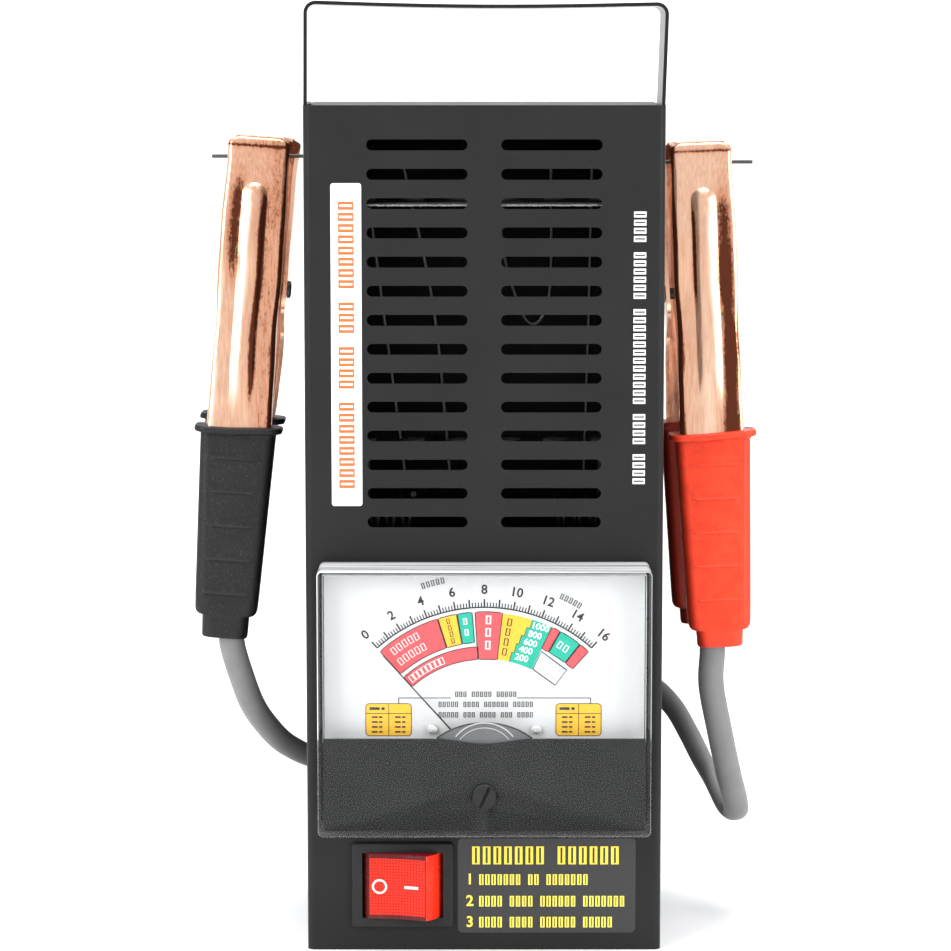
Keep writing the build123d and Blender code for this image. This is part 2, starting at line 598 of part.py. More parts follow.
with BuildPart() as ceramic_bushes:
    for plate_z in (PLATE_UPPER_Z, PLATE_LOWER_Z):
        with BuildSketch(Plane.XY.offset(plate_z)):
            with Locations(*wire_spots):
                Circle(BUSH_D / 2)
                Circle(WIRE_D / 2 + PAINT_GAP, mode=Mode.SUBTRACT)
        extrude(amount=PLATE_T)
        with BuildSketch(Plane.XY.offset(plate_z + PLATE_T)):
            with Locations(*wire_spots):
                Circle(BUSH_HEAD_D / 2)
                Circle(WIRE_D / 2 + PAINT_GAP, mode=Mode.SUBTRACT)
        extrude(amount=BUSH_L - PLATE_T)
save(ceramic_bushes.part, "ceramic_bushes")

# three hairpin resistance wires, each up through one bush and down through the next
HAIRPIN_TOP_Z, WIRE_END_Z = 238.0, 144.0
with BuildPart() as load_wires:
    for pair in range(WIRE_COUNT // 2):
        left_x = wire_spots[2 * pair][0]
        right_x = wire_spots[2 * pair + 1][0]
        with BuildLine() as hairpin:
            FilletPolyline((left_x, WIRE_Y, WIRE_END_Z), (left_x, WIRE_Y, HAIRPIN_TOP_Z),
                           (right_x, WIRE_Y, HAIRPIN_TOP_Z), (right_x, WIRE_Y, WIRE_END_Z), radius=5)
        with BuildSketch(Plane.XY.offset(WIRE_END_Z)):
            with Locations((left_x, WIRE_Y)):
                Circle(WIRE_D / 2)
        sweep(path=hairpin.wire())
save(load_wires.part, "load_wires")

# two helical load coils lying across the case under the lower plate
with BuildPart() as load_coils:
    for start_x in (-42.0, 42.0 - COIL_L):
        with BuildLine() as coil_path:
            Helix(COIL_PITCH, COIL_L, COIL_R, center=(start_x, WIRE_Y, COIL_Z), direction=(1, 0, 0))
        with BuildSketch(Plane(origin=coil_path.line @ 0, z_dir=coil_path.line % 0)):
            Circle(WIRE_D / 2)
        sweep(path=coil_path.wire(), is_frenet=True)
save(load_coils.part, "load_coils")

with BuildPart() as terminal_board:
    with BuildSketch(front_plane(BOARD_Y + BOARD_T)):
        with Locations((0, BOARD_Z)):
            Rectangle(BOARD_W, BOARD_H)
        with Locations((-TERMINAL_X, BOARD_Z), (TERMINAL_X, BOARD_Z)):
            Circle(TERMINAL_D / 2 + PAINT_GAP, mode=Mode.SUBTRACT)
    extrude(amount=BOARD_T)
save(terminal_board.part, "terminal_board")

HANGER_X = BOARD_W / 2 - 3
with BuildPart() as board_hangers:
    hanger_top = PLATE_LOWER_Z
    hanger_low = BOARD_Z - 4
    for hanger_x in (-HANGER_X, HANGER_X):
        with BuildSketch(front_plane(BOARD_Y + BOARD_T + 1.5)):
            with Locations((hanger_x, (hanger_top + hanger_low) / 2)):
                Rectangle(6, hanger_top - hanger_low)
        extrude(amount=1.5)
save(board_hangers.part, "board_hangers")

with BuildPart() as terminal_studs:
    with BuildSketch(front_plane(BOARD_Y + BOARD_T)):
        with Locations((-TERMINAL_X, BOARD_Z), (TERMINAL_X, BOARD_Z)):
            RegularPolygon(TERMINAL_NUT_D / 2, 6)
    extrude(amount=-3)
    with BuildSketch(front_plane(BOARD_Y + BOARD_T)):
        with Locations((-TERMINAL_X, BOARD_Z), (TERMINAL_X, BOARD_Z)):
            Circle(TERMINAL_D / 2)
    extrude(amount=16)
save(terminal_studs.part, "terminal_studs")

with BuildPart() as terminal_nuts:
    with BuildSketch(front_plane(BOARD_Y - 2.4)):
        with Locations((-TERMINAL_X, BOARD_Z), (TERMINAL_X, BOARD_Z)):
            RegularPolygon(TERMINAL_NUT_D / 2, 6)
            Circle(TERMINAL_D / 2 + PAINT_GAP, mode=Mode.SUBTRACT)
    extrude(amount=4)
save(terminal_nuts.part, "terminal_nuts")

LUG_T, LUG_R, LUG_TAIL = 1.6, 6.0, 14.0
with BuildPart() as cable_lugs:
    for sign in (-1, 1):
        with BuildSketch(front_plane(BOARD_Y)):
            with Locations((sign * TERMINAL_X, BOARD_Z)):
                Circle(LUG_R)
            with Locations((sign * TERMINAL_X, BOARD_Z - LUG_TAIL / 2)):
                Rectangle(7, LUG_TAIL)
            with Locations((sign * TERMINAL_X, BOARD_Z)):
                Circle(TERMINAL_D / 2 + PAINT_GAP, mode=Mode.SUBTRACT)
        extrude(amount=LUG_T)
save(cable_lugs.part, "cable_lugs")

wire_y = METER_STUD_L + FRONT - 4
switch_tab_end = (SWITCH_X + 9, TERMINAL_Y + 9.5, SWITCH_Z)
hookup_paths = [
    ([(x, wire_y, SPIGOT_Z + 3.6), (x * 1.2, wire_y + 5, 88), (x * 1.9, BOARD_Y - 10, BOARD_Z - 4)], 1.6)
    for x in (-METER_STUD_X, METER_STUD_X)
]
hookup_paths.append(([switch_tab_end, (-13, TERMINAL_Y + 14, 40), (-8, BOARD_Y + 10, 80),
                      (-6, BOARD_Y + 8, BOARD_Z)], 2.2))
with BuildPart() as hookup_wires:
    for points, diameter in hookup_paths:
        with BuildLine() as path:
            Spline(*points)
        with BuildSketch(Plane(origin=path.line @ 0, z_dir=path.line % 0)):
            Circle(diameter / 2)
        sweep(path=path.wire())
save(hookup_wires.part, "hookup_wires")

# ================================================================ clamps
TOOTH_COUNT, TOOTH_DEPTH = 8, 1.3


def clamp_side_plane(pivot, lean):
    """Plane of a clamp's side view: its own x is depth (Y) and its own y runs up the clamp."""
    return Plane(origin=pivot, x_dir=(0, 1, 0), z_dir=(cos(radians(lean)), 0, -sin(radians(lean))))


def half_outline(sign):
    """Side view of one clamp half as (depth, height) points; sign -1 is the front half."""
    tooth_pitch = (TIP_W - TOOTH_END_W) / TOOTH_COUNT
    teeth = []
    for tooth in range(TOOTH_COUNT):
        top = TIP_W - tooth * tooth_pitch
        teeth.append((JAW_GAP, top - 0.2 * tooth_pitch))
        teeth.append((JAW_GAP + TOOTH_DEPTH, top - 0.6 * tooth_pitch))
    tip = [(JAW_GAP + 1.0, TIP_W)]
    points = HALF_OUTER + tip + teeth + [(JAW_GAP, TOOTH_END_W)] + HALF_EDGE
    return [(sign * depth, height) for depth, height in points]


def rib_outline(sign):
    """Side view of the rib pressed out of the jaw's back, between its low end and its top."""
    back = [(18.7, RIB_LOW_W), (14.5, 0.0), (13.5, 18.0), (10.2, RIB_TOP_W)]
    crest = [(depth + RIB_RISE, height) for depth, height in back]
    crest[-1] = (crest[-1][0], RIB_TOP_W - 1.0)
    return [(sign * depth, height) for depth, height in back + crest[::-1]]


def clamp_channel(side, sign, width):
    """One copper half: a bent channel with a pressed rib, teeth on its edges and pivot ears."""
    beyond = 2.0
    hollow = [(depth - COPPER_T, height) for depth, height in HALF_OUTER]
    hollow[0] = (hollow[0][0], HANDLE_END_W - beyond)
    hollow[-1] = (hollow[-1][0], TIP_W + beyond)
    hollow += [(-10.0 - beyond, TIP_W + beyond), (-10.0 - beyond, HANDLE_END_W - beyond)]
    pocket = [(sign * depth, height) for depth, height in hollow]
    with BuildPart() as channel:
        with BuildSketch(side):
            with BuildLine():
                Polyline(*half_outline(sign), close=True)
            make_face()
        extrude(amount=width / 2, both=True)
        with BuildSketch(side):
            with BuildLine():
                Polyline(*pocket, close=True)
            make_face()
        extrude(amount=width / 2 - COPPER_T, both=True, mode=Mode.SUBTRACT)
        with BuildSketch(side):
            with BuildLine():
                Polyline(*rib_outline(sign), close=True)
            make_face()
        extrude(amount=RIB_HALF, both=True)
        with BuildSketch(side):
            Circle(RIVET_D / 2 + PAINT_GAP)
        extrude(amount=width, both=True, mode=Mode.SUBTRACT)
    return channel.part


def clamp_sleeve(side, sign, width, bore_shift):
    """Vinyl grip over one handle: tapered sleeve with a lip at the top and a neck for the cable."""
    across = Plane(origin=side.origin, x_dir=side.z_dir, z_dir=side.y_dir)
    top = across.offset(SLEEVE_TOP_W)
    end = across.offset(SLEEVE_END_W)
    along = -sign if across.y_dir.Y < 0 else sign
    top_w = width + 2 * GRIP_WALL + 0.6
    with BuildPart() as sleeve:
        with BuildSketch(top):
            with Locations((0, along * GRIP_TOP_DEPTH)):
                RectangleRounded(top_w, GRIP_DEPTH, 2.6)
        with BuildSketch(end):
            with Locations((0, along * GRIP_END_DEPTH)):
                RectangleRounded(width + 0.8, GRIP_DEPTH, 3.2)
        loft()
        with BuildSketch(top):
            with Locations((0, along * GRIP_TOP_DEPTH)):
                RectangleRounded(top_w + 2 * LIP_RIM, LIP_DEPTH, 4.0)
        extrude(amount=LIP_T)
        with BuildSketch(end):
            with Locations((0, along * GRIP_END_DEPTH)):
                RectangleRounded(NECK_W, NECK_DEPTH, 2.4)
        extrude(amount=NECK_END_W - SLEEVE_END_W)
        mouth_w = SLEEVE_TOP_W + 2 * LIP_T
        floor_w = HANDLE_END_W - FIT
        cavity = [(19.0 + FIT, mouth_w), (19.0 + FIT, -42.0), (24.5 + FIT, floor_w),
                  (19.5 - FIT, floor_w), (13.9 - FIT, -42.0), (12.9 - FIT, mouth_w)]
        with BuildSketch(side):
            with BuildLine():
                Polyline(*[(sign * depth, height) for depth, height in cavity], close=True)
            make_face()
        extrude(amount=width / 2 + FIT, both=True, mode=Mode.SUBTRACT)
        with BuildSketch(across.offset(NECK_END_W)):
            with Locations((bore_shift, along * GRIP_END_DEPTH)):
                Circle(CABLE_D / 2 + PAINT_GAP)
        extrude(amount=SLEEVE_END_W - NECK_END_W + 2.5, mode=Mode.SUBTRACT)
    return sleeve.part


def clamp_rivet(side):
    """Pivot rivet with a head outside each wall of the wider rear half."""
    with BuildPart() as rivet:
        with BuildSketch(side):
            Circle(RIVET_D / 2)
        extrude(amount=CLAMP_REAR_W / 2 + PAINT_GAP, both=True)
        for end in (-1, 1):
            with BuildSketch(side.offset(end * (CLAMP_REAR_W / 2 + PAINT_GAP))):
                Circle(RIVET_HEAD_D / 2)
            extrude(amount=end * RIVET_HEAD_T)
    return rivet.part


def clamp_spring(side):
    """Torsion spring round the rivet with one leg towards each handle."""
    helix_len, wire = 8.0, 1.4
    across = side.z_dir
    start = side.origin - across * (helix_len / 2)
    with BuildPart() as coil:
        with BuildLine() as coil_path:
            Helix(2.0, helix_len, 3.4, center=start, direction=across)
        with BuildSketch(Plane(origin=coil_path.line @ 0, z_dir=coil_path.line % 0)):
            Circle(wire / 2)
        sweep(is_frenet=True)
        for sign, shift in ((-1, -helix_len / 2), (1, helix_len / 2)):
            leg_foot = Plane(origin=side.origin + across * shift, x_dir=side.x_dir, z_dir=side.z_dir)
            foot = leg_foot.from_local_coords(Vector(sign * 3.0, -1.6, 0))
            tip = leg_foot.from_local_coords(Vector(sign * 7.6, -15.0, 0))
            with BuildLine() as leg_line:
                Line(foot, tip)
            with BuildSketch(Plane(origin=foot, z_dir=tip - foot)):
                Circle(wire / 2)
            sweep(path=leg_line.line)
    return coil.part


black_side = clamp_side_plane(BLACK_PIVOT, BLACK_LEAN)
red_side = clamp_side_plane(RED_PIVOT, RED_LEAN)
for colour, side, bore_shift in (("black", black_side, BORE_SHIFT), ("red", red_side, -BORE_SHIFT)):
    save(clamp_channel(side, -1, CLAMP_FRONT_W), f"{colour}_front_jaw")
    save(clamp_channel(side, 1, CLAMP_REAR_W), f"{colour}_rear_jaw")
    save(clamp_sleeve(side, -1, CLAMP_FRONT_W, bore_shift), f"{colour}_front_sleeve")
    save(clamp_sleeve(side, 1, CLAMP_REAR_W, bore_shift), f"{colour}_rear_sleeve")
    save(clamp_rivet(side), f"{colour}_pivot_rivet")
    save(clamp_spring(side), f"{colour}_spring")

# ================================================================ leads
# Each lead is one cable.  It is opened at the place where it bends when the clamp is swung
# outwards, so that its clamp end can turn with the clamp.
LUG_END_Z = BOARD_Z - LUG_TAIL - 0.6
LUG_Y = BOARD_Y - LUG_T / 2


def lead_clamp_end(side, bore_shift, swing, direction):
    """Cable from inside the front grip's neck down to the swing gap."""
    neck = side.from_local_coords(Vector(-GRIP_END_DEPTH, SLEEVE_END_W - 1.0, bore_shift))
    neck_end = side.from_local_coords(Vector(-GRIP_END_DEPTH, NECK_END_W - 0.5, bore_shift))
    start = swing - direction.normalized() * LEAD_HALF_GAP
    with BuildPart() as lead:
        with BuildLine() as path:
            Line(neck, neck_end)
            Spline(neck_end, start, tangents=[neck_end - neck, direction])
        with BuildSketch(Plane(origin=neck, z_dir=neck_end - neck)):
            Circle(CABLE_D / 2)
        sweep(path=path.wire())
    return lead.part


def lead_case_end(swing, direction, bends, wall_x, entry, lug_x):
    """Cable from the swing gap, through the side wall's grommet, up to its lug."""
    sign = 1 if wall_x > 0 else -1
    start = swing + direction.normalized() * LEAD_HALF_GAP
    outside = Vector(wall_x + sign * 3.5, *entry)
    inside = Vector(wall_x - sign * 5.0, *entry)
    lug = Vector(lug_x, LUG_Y, LUG_END_Z)
    inward = Vector(-sign, 0, 0)
    with BuildPart() as lead:
        with BuildLine() as path:
            Spline(start, *bends, outside, tangents=[direction, inward])
            Line(outside, inside)
            Spline(inside, lug, tangents=[inward * 1.6, Vector(0, 0, 1.6)])
        with BuildSketch(Plane(origin=start, z_dir=direction)):
            Circle(CABLE_D / 2)
        sweep(path=path.wire())
    return lead.part


BLACK_DIRECTION = Vector(0.25, 0.38, -0.9)
RED_DIRECTION = Vector(0.2, 0.3, -0.95)
BLACK_BENDS = [Vector(-69.8, -10.8, 66.2), Vector(-64.8, -2.8, 58.4)]
RED_BENDS = [Vector(76.2, -9.5, 54.0), Vector(80.2, -2.6, 40.0), Vector(80.8, 5.5, 32.8),
             Vector(78.0, 13.6, 38.0), Vector(73.0, 19.0, 47.0), Vector(65.6, 24.0, 59.4)]
save(lead_clamp_end(black_side, BORE_SHIFT, BLACK_SWING, BLACK_DIRECTION), "black_lead_clamp_end")
save(lead_case_end(BLACK_SWING, BLACK_DIRECTION, BLACK_BENDS, -SIDE, BLACK_ENTRY, -TERMINAL_X),
     "black_lead_case_end")
save(lead_clamp_end(red_side, -BORE_SHIFT, RED_SWING, RED_DIRECTION), "red_lead_clamp_end")
save(lead_case_end(RED_SWING, RED_DIRECTION, RED_BENDS, SIDE, RED_ENTRY, TERMINAL_X),
     "red_lead_case_end")
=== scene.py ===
"""Looks of the battery load tester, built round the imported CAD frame.

Everything is in metres in the CAD's own frame: +Z up, the front panel facing -Y.
"""
import json
import math
import random

import bmesh
import bpy
from mathutils import Matrix, Vector


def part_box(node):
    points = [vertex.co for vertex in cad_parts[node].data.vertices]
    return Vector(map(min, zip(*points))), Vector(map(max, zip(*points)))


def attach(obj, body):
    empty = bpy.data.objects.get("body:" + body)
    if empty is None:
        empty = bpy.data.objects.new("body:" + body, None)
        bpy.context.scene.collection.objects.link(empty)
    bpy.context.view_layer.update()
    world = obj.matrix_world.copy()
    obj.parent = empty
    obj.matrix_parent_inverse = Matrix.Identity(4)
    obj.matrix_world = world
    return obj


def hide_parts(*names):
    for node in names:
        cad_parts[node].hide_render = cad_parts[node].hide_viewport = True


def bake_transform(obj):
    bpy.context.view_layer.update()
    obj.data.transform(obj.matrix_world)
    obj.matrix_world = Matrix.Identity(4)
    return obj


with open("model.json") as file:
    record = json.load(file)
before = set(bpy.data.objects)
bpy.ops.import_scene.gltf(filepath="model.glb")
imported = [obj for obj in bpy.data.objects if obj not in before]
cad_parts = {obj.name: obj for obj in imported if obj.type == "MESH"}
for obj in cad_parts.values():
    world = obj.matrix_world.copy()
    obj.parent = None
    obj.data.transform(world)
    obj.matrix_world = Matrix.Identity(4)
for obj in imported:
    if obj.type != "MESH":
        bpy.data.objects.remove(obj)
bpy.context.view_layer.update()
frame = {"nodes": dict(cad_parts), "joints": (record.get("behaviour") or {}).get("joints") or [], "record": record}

MM = 0.001
joints = {joint["name"]: joint for joint in frame["joints"]}
nodes = frame["nodes"]


def box_mm(node):
    """A CAD node's lowest and highest corners in millimetres."""
    low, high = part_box(node)
    return low / MM, high / MM


# ---------------------------------------------------------------- material helpers
class Paint:
    """A node material: a Principled shader whose colour, roughness and bump come from procedural nodes."""

    def __init__(self, name):
        self.material = bpy.data.materials.new(name)
        self.material.use_nodes = True
        self.tree = self.material.node_tree
        self.tree.nodes.clear()
        self.output = self.node("ShaderNodeOutputMaterial")
        self.shader = self.node("ShaderNodeBsdfPrincipled")
        self.link(self.shader.outputs[0], self.output.inputs["Surface"])
        self.coords = self.node("ShaderNodeTexCoord").outputs["Object"]
        self.height = None

    def node(self, kind, **inputs):
        made = self.tree.nodes.new(kind)
        for key, value in inputs.items():
            made.inputs[key.replace("_", " ")].default_value = value
        return made

    def link(self, source, target):
        self.tree.links.new(source, target)

    def set(self, **values):
        for key, value in values.items():
            self.shader.inputs[key.replace("_", " ")].default_value = value
        return self

    def stretched(self, scale):
        """Object coordinates multiplied by a vector, for streaks and weave."""
        mapping = self.node("ShaderNodeMapping")
        mapping.inputs["Scale"].default_value = scale
        self.link(self.coords, mapping.inputs["Vector"])
        return mapping.outputs[0]

    def noise(self, scale, detail=3.0, stretch=(1, 1, 1), rough=0.55):
        made = self.node("ShaderNodeTexNoise", Scale=scale, Detail=detail, Roughness=rough)
        self.link(self.stretched(stretch), made.inputs["Vector"])
        return made.outputs["Fac"]

    def remap(self, source, low, high, from_low=0.3, from_high=0.7):
        made = self.node("ShaderNodeMapRange")
        for key, value in (("From Min", from_low), ("From Max", from_high),
                           ("To Min", low), ("To Max", high)):
            made.inputs[key].default_value = value
        self.link(source, made.inputs["Value"])
        return made.outputs["Result"]

    def mix(self, factor, first, second):
        made = self.node("ShaderNodeMix")
        made.data_type = "RGBA"
        for socket, value in ((made.inputs[6], first), (made.inputs[7], second)):
            if isinstance(value, bpy.types.NodeSocket):
                self.link(value, socket)
            else:
                socket.default_value = (*value, 1.0)
        self.link(factor, made.inputs[0])
        return made.outputs[2]

    def math(self, operation, first, second=0.0):
        made = self.node("ShaderNodeMath")
        made.operation = operation
        for socket, value in zip(made.inputs, (first, second)):
            if isinstance(value, bpy.types.NodeSocket):
                self.link(value, socket)
            else:
                socket.default_value = value
        return made.outputs[0]

    def colour(self, source):
        self.link(source, self.shader.inputs["Base Color"])
        return self

    def roughness(self, source):
        self.link(source, self.shader.inputs["Roughness"])
        return self

    def bump(self, source, distance, strength=1.0):
        """Adds a height in metres to the surface; several bumps stack."""
        made = self.node("ShaderNodeBump", Strength=strength, Distance=distance)
        self.link(source, made.inputs["Height"])
        if self.height is not None:
            self.link(self.height, made.inputs["Normal"])
        self.height = made.outputs[0]
        self.link(self.height, self.shader.inputs["Normal"])
        return self


def shade(colour, factor):
    """A colour made lighter or darker, kept inside 0 to 1."""
    return tuple(max(0.0, min(1.0, channel * factor)) for channel in colour)


def powder_coat(name, colour):
    """Satin powder coat: orange-peel skin, soft blotches and a little dust."""
    paint = Paint(name)
    blotch = paint.noise(28, 4)
    paint.colour(paint.mix(paint.remap(blotch, 0, 1), shade(colour, 0.90), shade(colour, 1.12)))
    paint.roughness(paint.remap(paint.noise(90, 3), 0.41, 0.46))
    paint.bump(paint.noise(1500, 2), 0.00003, 0.55)
    paint.bump(paint.noise(260, 2), 0.00004, 0.4)
    return paint.set(Specular_IOR_Level=0.16).material


def strap_coat(name, colour):
    """Powder coat of the strap whose shine is set by which way a face looks, as painted sheen: faces looking along X
    shine at a glancing look, those facing +X the most.
    """
    paint = Paint(name)
    blotch = paint.noise(28, 4)
    paint.colour(paint.mix(paint.remap(blotch, 0, 1), shade(colour, 0.90), shade(colour, 1.12)))
    normal = paint.node("ShaderNodeSeparateXYZ")
    paint.link(paint.node("ShaderNodeNewGeometry").outputs["True Normal"], normal.inputs[0])
    paint.roughness(paint.remap(normal.outputs["X"], 0.34, 0.10, -1, 1))
    facing_side = paint.math("ABSOLUTE", normal.outputs["X"])
    paint.link(paint.remap(facing_side, 0.14, 0.9, 0.3, 0.8), paint.shader.inputs["Specular IOR Level"])
    paint.bump(paint.noise(1500, 2), 0.00001, 0.3)
    return paint.material


def metal(name, colour, rough=0.3, streak=(1, 1, 1), grain=900.0, dark=0.75):
    """Bare or plated metal with drawn streaks, tarnish and varying polish."""
    paint = Paint(name)
    tarnish = paint.noise(70, 5)
    paint.colour(paint.mix(paint.remap(tarnish, 0, 1), shade(colour, dark), colour))
    streaks = paint.noise(grain, 3, streak)
    paint.roughness(paint.remap(streaks, rough * 0.8, rough * 1.3))
    paint.bump(streaks, 0.00002, 0.35)
    return paint.set(Metallic=1.0).material


def plastic(name, colour, rough=0.4, grain=1100.0, depth=0.00002, coat=0.0):
    """Moulded plastic with fine grain and slight colour variation."""
    paint = Paint(name)
    paint.colour(paint.mix(paint.remap(paint.noise(45, 4), 0, 1), shade(colour, 0.88), shade(colour, 1.1)))
    paint.roughness(paint.remap(paint.noise(160, 3), rough * 0.85, rough * 1.2))
    paint.bump(paint.noise(grain, 2), depth, 0.5)
    return paint.set(Specular_IOR_Level=0.2, Coat_Weight=coat, Coat_Roughness=0.1).material


def vinyl(name, colour, light, rough):
    """Soft moulded vinyl of a grip: mottled skin, scuffs, a waxy sheen and painted shade on its inner side."""
    paint = Paint(name)
    mottle = paint.remap(paint.noise(240, 5), 0, 1, 0.38, 0.66)
    scuff = paint.remap(paint.noise(2800, 4, (1, 1, 0.45)), 0, 1, 0.56, 0.78)
    base = paint.mix(mottle, shade(colour, 0.80), colour)
    skin = paint.mix(paint.math("MULTIPLY", scuff, 0.45), base, light)
    # painted shade: the "inside" attribute darkens the grip towards its mating half and on the side by the case
    inside = paint.node("ShaderNodeAttribute")
    inside.attribute_name = "inside"
    paint.colour(paint.mix(paint.remap(inside.outputs["Fac"], 0, 1, 0.1, 0.75), skin, shade(colour, 0.2)))
    paint.roughness(paint.remap(mottle, rough * 0.85, rough * 1.2, 0, 1))
    paint.bump(paint.noise(1600, 3), 0.00004, 0.5)
    paint.bump(paint.noise(330, 3), 0.00009, 0.4)
    return paint.set(Specular_IOR_Level=0.25).material


def cable_sheath(name, colour):
    """Extruded vinyl sheath: faint lengthwise draw lines, a soft satin and painted shade inside the case."""
    paint = Paint(name)
    sheath = paint.mix(paint.remap(paint.noise(130, 4), 0, 1), shade(colour, 0.9), shade(colour, 1.1))
    place = paint.node("ShaderNodeSeparateXYZ")
    paint.link(paint.coords, place.inputs[0])
    # painted shade: the sheath is darker inside the case and where the leads go into it
    case_shade = paint.remap(paint.math("ABSOLUTE", place.outputs["X"]), 1, 0, 0.056, 0.071)
    paint.colour(paint.mix(case_shade, sheath, shade(colour, 0.35)))
    paint.roughness(paint.remap(paint.noise(300, 3), 0.40, 0.55))
    paint.bump(paint.noise(1300, 3, (1, 1, 0.12)), 0.00005, 0.5)
    return paint.set(Sheen_Weight=0.15).material


def copper(name):
    """Polished copper plating drawn along the jaw; the piece's "streak" attribute paints light into its colour: cream
    painted highlights, dark painted reflections and painted shade, and dark mottled patches.
    """
    paint = Paint(name)
    streak = paint.node("ShaderNodeAttribute")
    streak.attribute_name = "streak"
    draw = paint.noise(1500, 3, (1, 1, 0.03))
    cloud = paint.remap(paint.noise(70, 5, (1, 1, 0.35)), -0.10, 0.12)
    # tone: the painted light and patches of the "streak" attribute, plus random clouds and drawn lines
    tone = paint.math("ADD", paint.math("ADD", streak.outputs["Fac"], cloud), paint.remap(draw, -0.10, 0.10))
    tint = paint.mix(paint.remap(tone, 0, 1, -0.35, 0.30), (0.74, 0.33, 0.19), (1.0, 0.69, 0.50))
    ragged = paint.remap(paint.noise(1500, 6, (1, 1, 0.5), 0.75), -0.26, 0.26)
    edge = paint.math("ADD", tone, ragged)
    # low tone gives dark painted reflections and painted shade, high tone cream painted highlights
    dark = paint.remap(edge, 1, 0, -0.66, -0.32)
    painted_highlight = paint.remap(tone, 0, 1, 0.30, 0.80)
    base = paint.mix(painted_highlight, paint.mix(dark, tint, (0.13, 0.036, 0.018)), (1.0, 0.88, 0.76))
    paint.colour(base)
    # emission: painted light, the plating glows a little in its own colour
    paint.link(base, paint.shader.inputs["Emission Color"])
    paint.set(Emission_Strength=0.20)
    paint.roughness(paint.remap(draw, 0.15, 0.27))
    paint.bump(draw, 0.000010, 0.5)
    paint.bump(paint.noise(190, 3), 0.00006, 0.35)
    return paint.set(Metallic=1.0, Specular_IOR_Level=0.6).material


def clear_plastic(name):
    """Clear moulded cover: see-through from the front; where its walls are seen along their depth they are painted pale
    with a faint glow, as painted light.
    """
    paint = Paint(name)
    through = paint.node("ShaderNodeBsdfTransparent")
    through.inputs["Color"].default_value = (0.985, 0.99, 0.99, 1)
    gloss = paint.node("ShaderNodeBsdfGlossy")
    hairline = paint.remap(paint.noise(900, 4, (0.2, 1, 1)), 0.02, 0.07)
    paint.link(hairline, gloss.inputs["Roughness"])
    facing = paint.node("ShaderNodeFresnel", IOR=1.17)
    back = paint.node("ShaderNodeNewGeometry").outputs["Backfacing"]
    shine = paint.math("MULTIPLY", facing.outputs[0], paint.math("SUBTRACT", 1.0, back))
    window = paint.node("ShaderNodeMixShader")
    paint.link(shine, window.inputs[0])
    paint.link(through.outputs[0], window.inputs[1])
    paint.link(gloss.outputs[0], window.inputs[2])
    # walls: faces that look sideways, and the walls' back ends, are painted pale with a faint glow, as painted light;
    # less so beside the black mask
    normal = paint.node("ShaderNodeSeparateXYZ")
    paint.link(paint.node("ShaderNodeNewGeometry").outputs["True Normal"], normal.inputs[0])
    place = paint.node("ShaderNodeSeparateXYZ")
    paint.link(paint.coords, place.inputs[0])
    sideways = paint.math("LESS_THAN", paint.math("ABSOLUTE", normal.outputs["Y"]), 0.75)
    wall_end = paint.math("GREATER_THAN", place.outputs["Y"], WALL_END_Y)
    wall = paint.math("MAXIMUM", sideways, wall_end)
    above_mask = paint.remap(place.outputs["Z"], 0.16, 0.86, MASK_TOP - 0.0005, MASK_TOP + 0.0005)
    painted_wall_light = paint.math("MULTIPLY", wall, above_mask)
    # moulding lines that run round the walls
    lines = paint.remap(paint.noise(560, 2, (0.02, 1, 0.02)), 0, 1, 0.36, 0.62)
    paint.colour(paint.mix(lines, (0.30, 0.31, 0.31), (0.90, 0.91, 0.92)))
    # painted light: the faint emission makes the walls glow
    paint.set(Roughness=0.12, Emission_Color=(0.93, 0.94, 0.95, 1), Emission_Strength=0.06)
    blend = paint.node("ShaderNodeMixShader")
    paint.link(painted_wall_light, blend.inputs[0])
    paint.link(window.outputs[0], blend.inputs[1])
    paint.link(paint.shader.outputs[0], blend.inputs[2])
    paint.link(blend.outputs[0], paint.output.inputs["Surface"])
    return paint.material


def lit_red(name, dotted):
    """Translucent red switch plastic, with a lens grid moulded on the inside when dotted."""
    paint = Paint(name)
    deep, bright = (0.085, 0.012, 0.011), (0.80, 0.028, 0.009)
    glow = paint.remap(paint.noise(110, 3), 0, 1)
    base = paint.mix(glow, shade(bright, 0.85), bright)
    if not dotted:
        # painted light: the housing is coloured by which way a face looks, dark from the front, crimson from above and
        # bright at its raised end
        normal = paint.node("ShaderNodeSeparateXYZ")
        paint.link(paint.node("ShaderNodeNewGeometry").outputs["True Normal"], normal.inputs[0])
        rim = paint.mix(glow, deep, shade(deep, 1.4))
        topped = paint.mix(paint.math("GREATER_THAN", normal.outputs["Z"], 0.6), rim, (0.36, 0.008, 0.02))
        base = paint.mix(paint.math("GREATER_THAN", normal.outputs["X"], 0.35), topped, bright)
    if dotted:
        pitch = 0.0009
        cells = paint.node("ShaderNodeTexVoronoi")
        cells.inputs["Scale"].default_value = 1 / pitch
        cells.inputs["Randomness"].default_value = 0.0
        paint.link(paint.stretched((1, 0, 1)), cells.inputs["Vector"])
        dot = paint.remap(cells.outputs["Distance"], 1, 0, 0.1, 0.5)
        base = paint.mix(paint.math("MULTIPLY", dot, 0.95), base, (0.30, 0.0, 0.005))
        paint.bump(dot, 0.00005, 0.4)
    paint.colour(base)
    paint.roughness(paint.remap(paint.noise(500, 3), 0.18, 0.30))
    paint.set(Coat_Weight=0.08, Coat_Roughness=0.12, Specular_IOR_Level=0.15)
    # emission: painted light, the switch plastic glows a little
    paint.link(base, paint.shader.inputs["Emission Color"])
    return paint.set(Emission_Strength=0.11 if dotted else 0.05).material


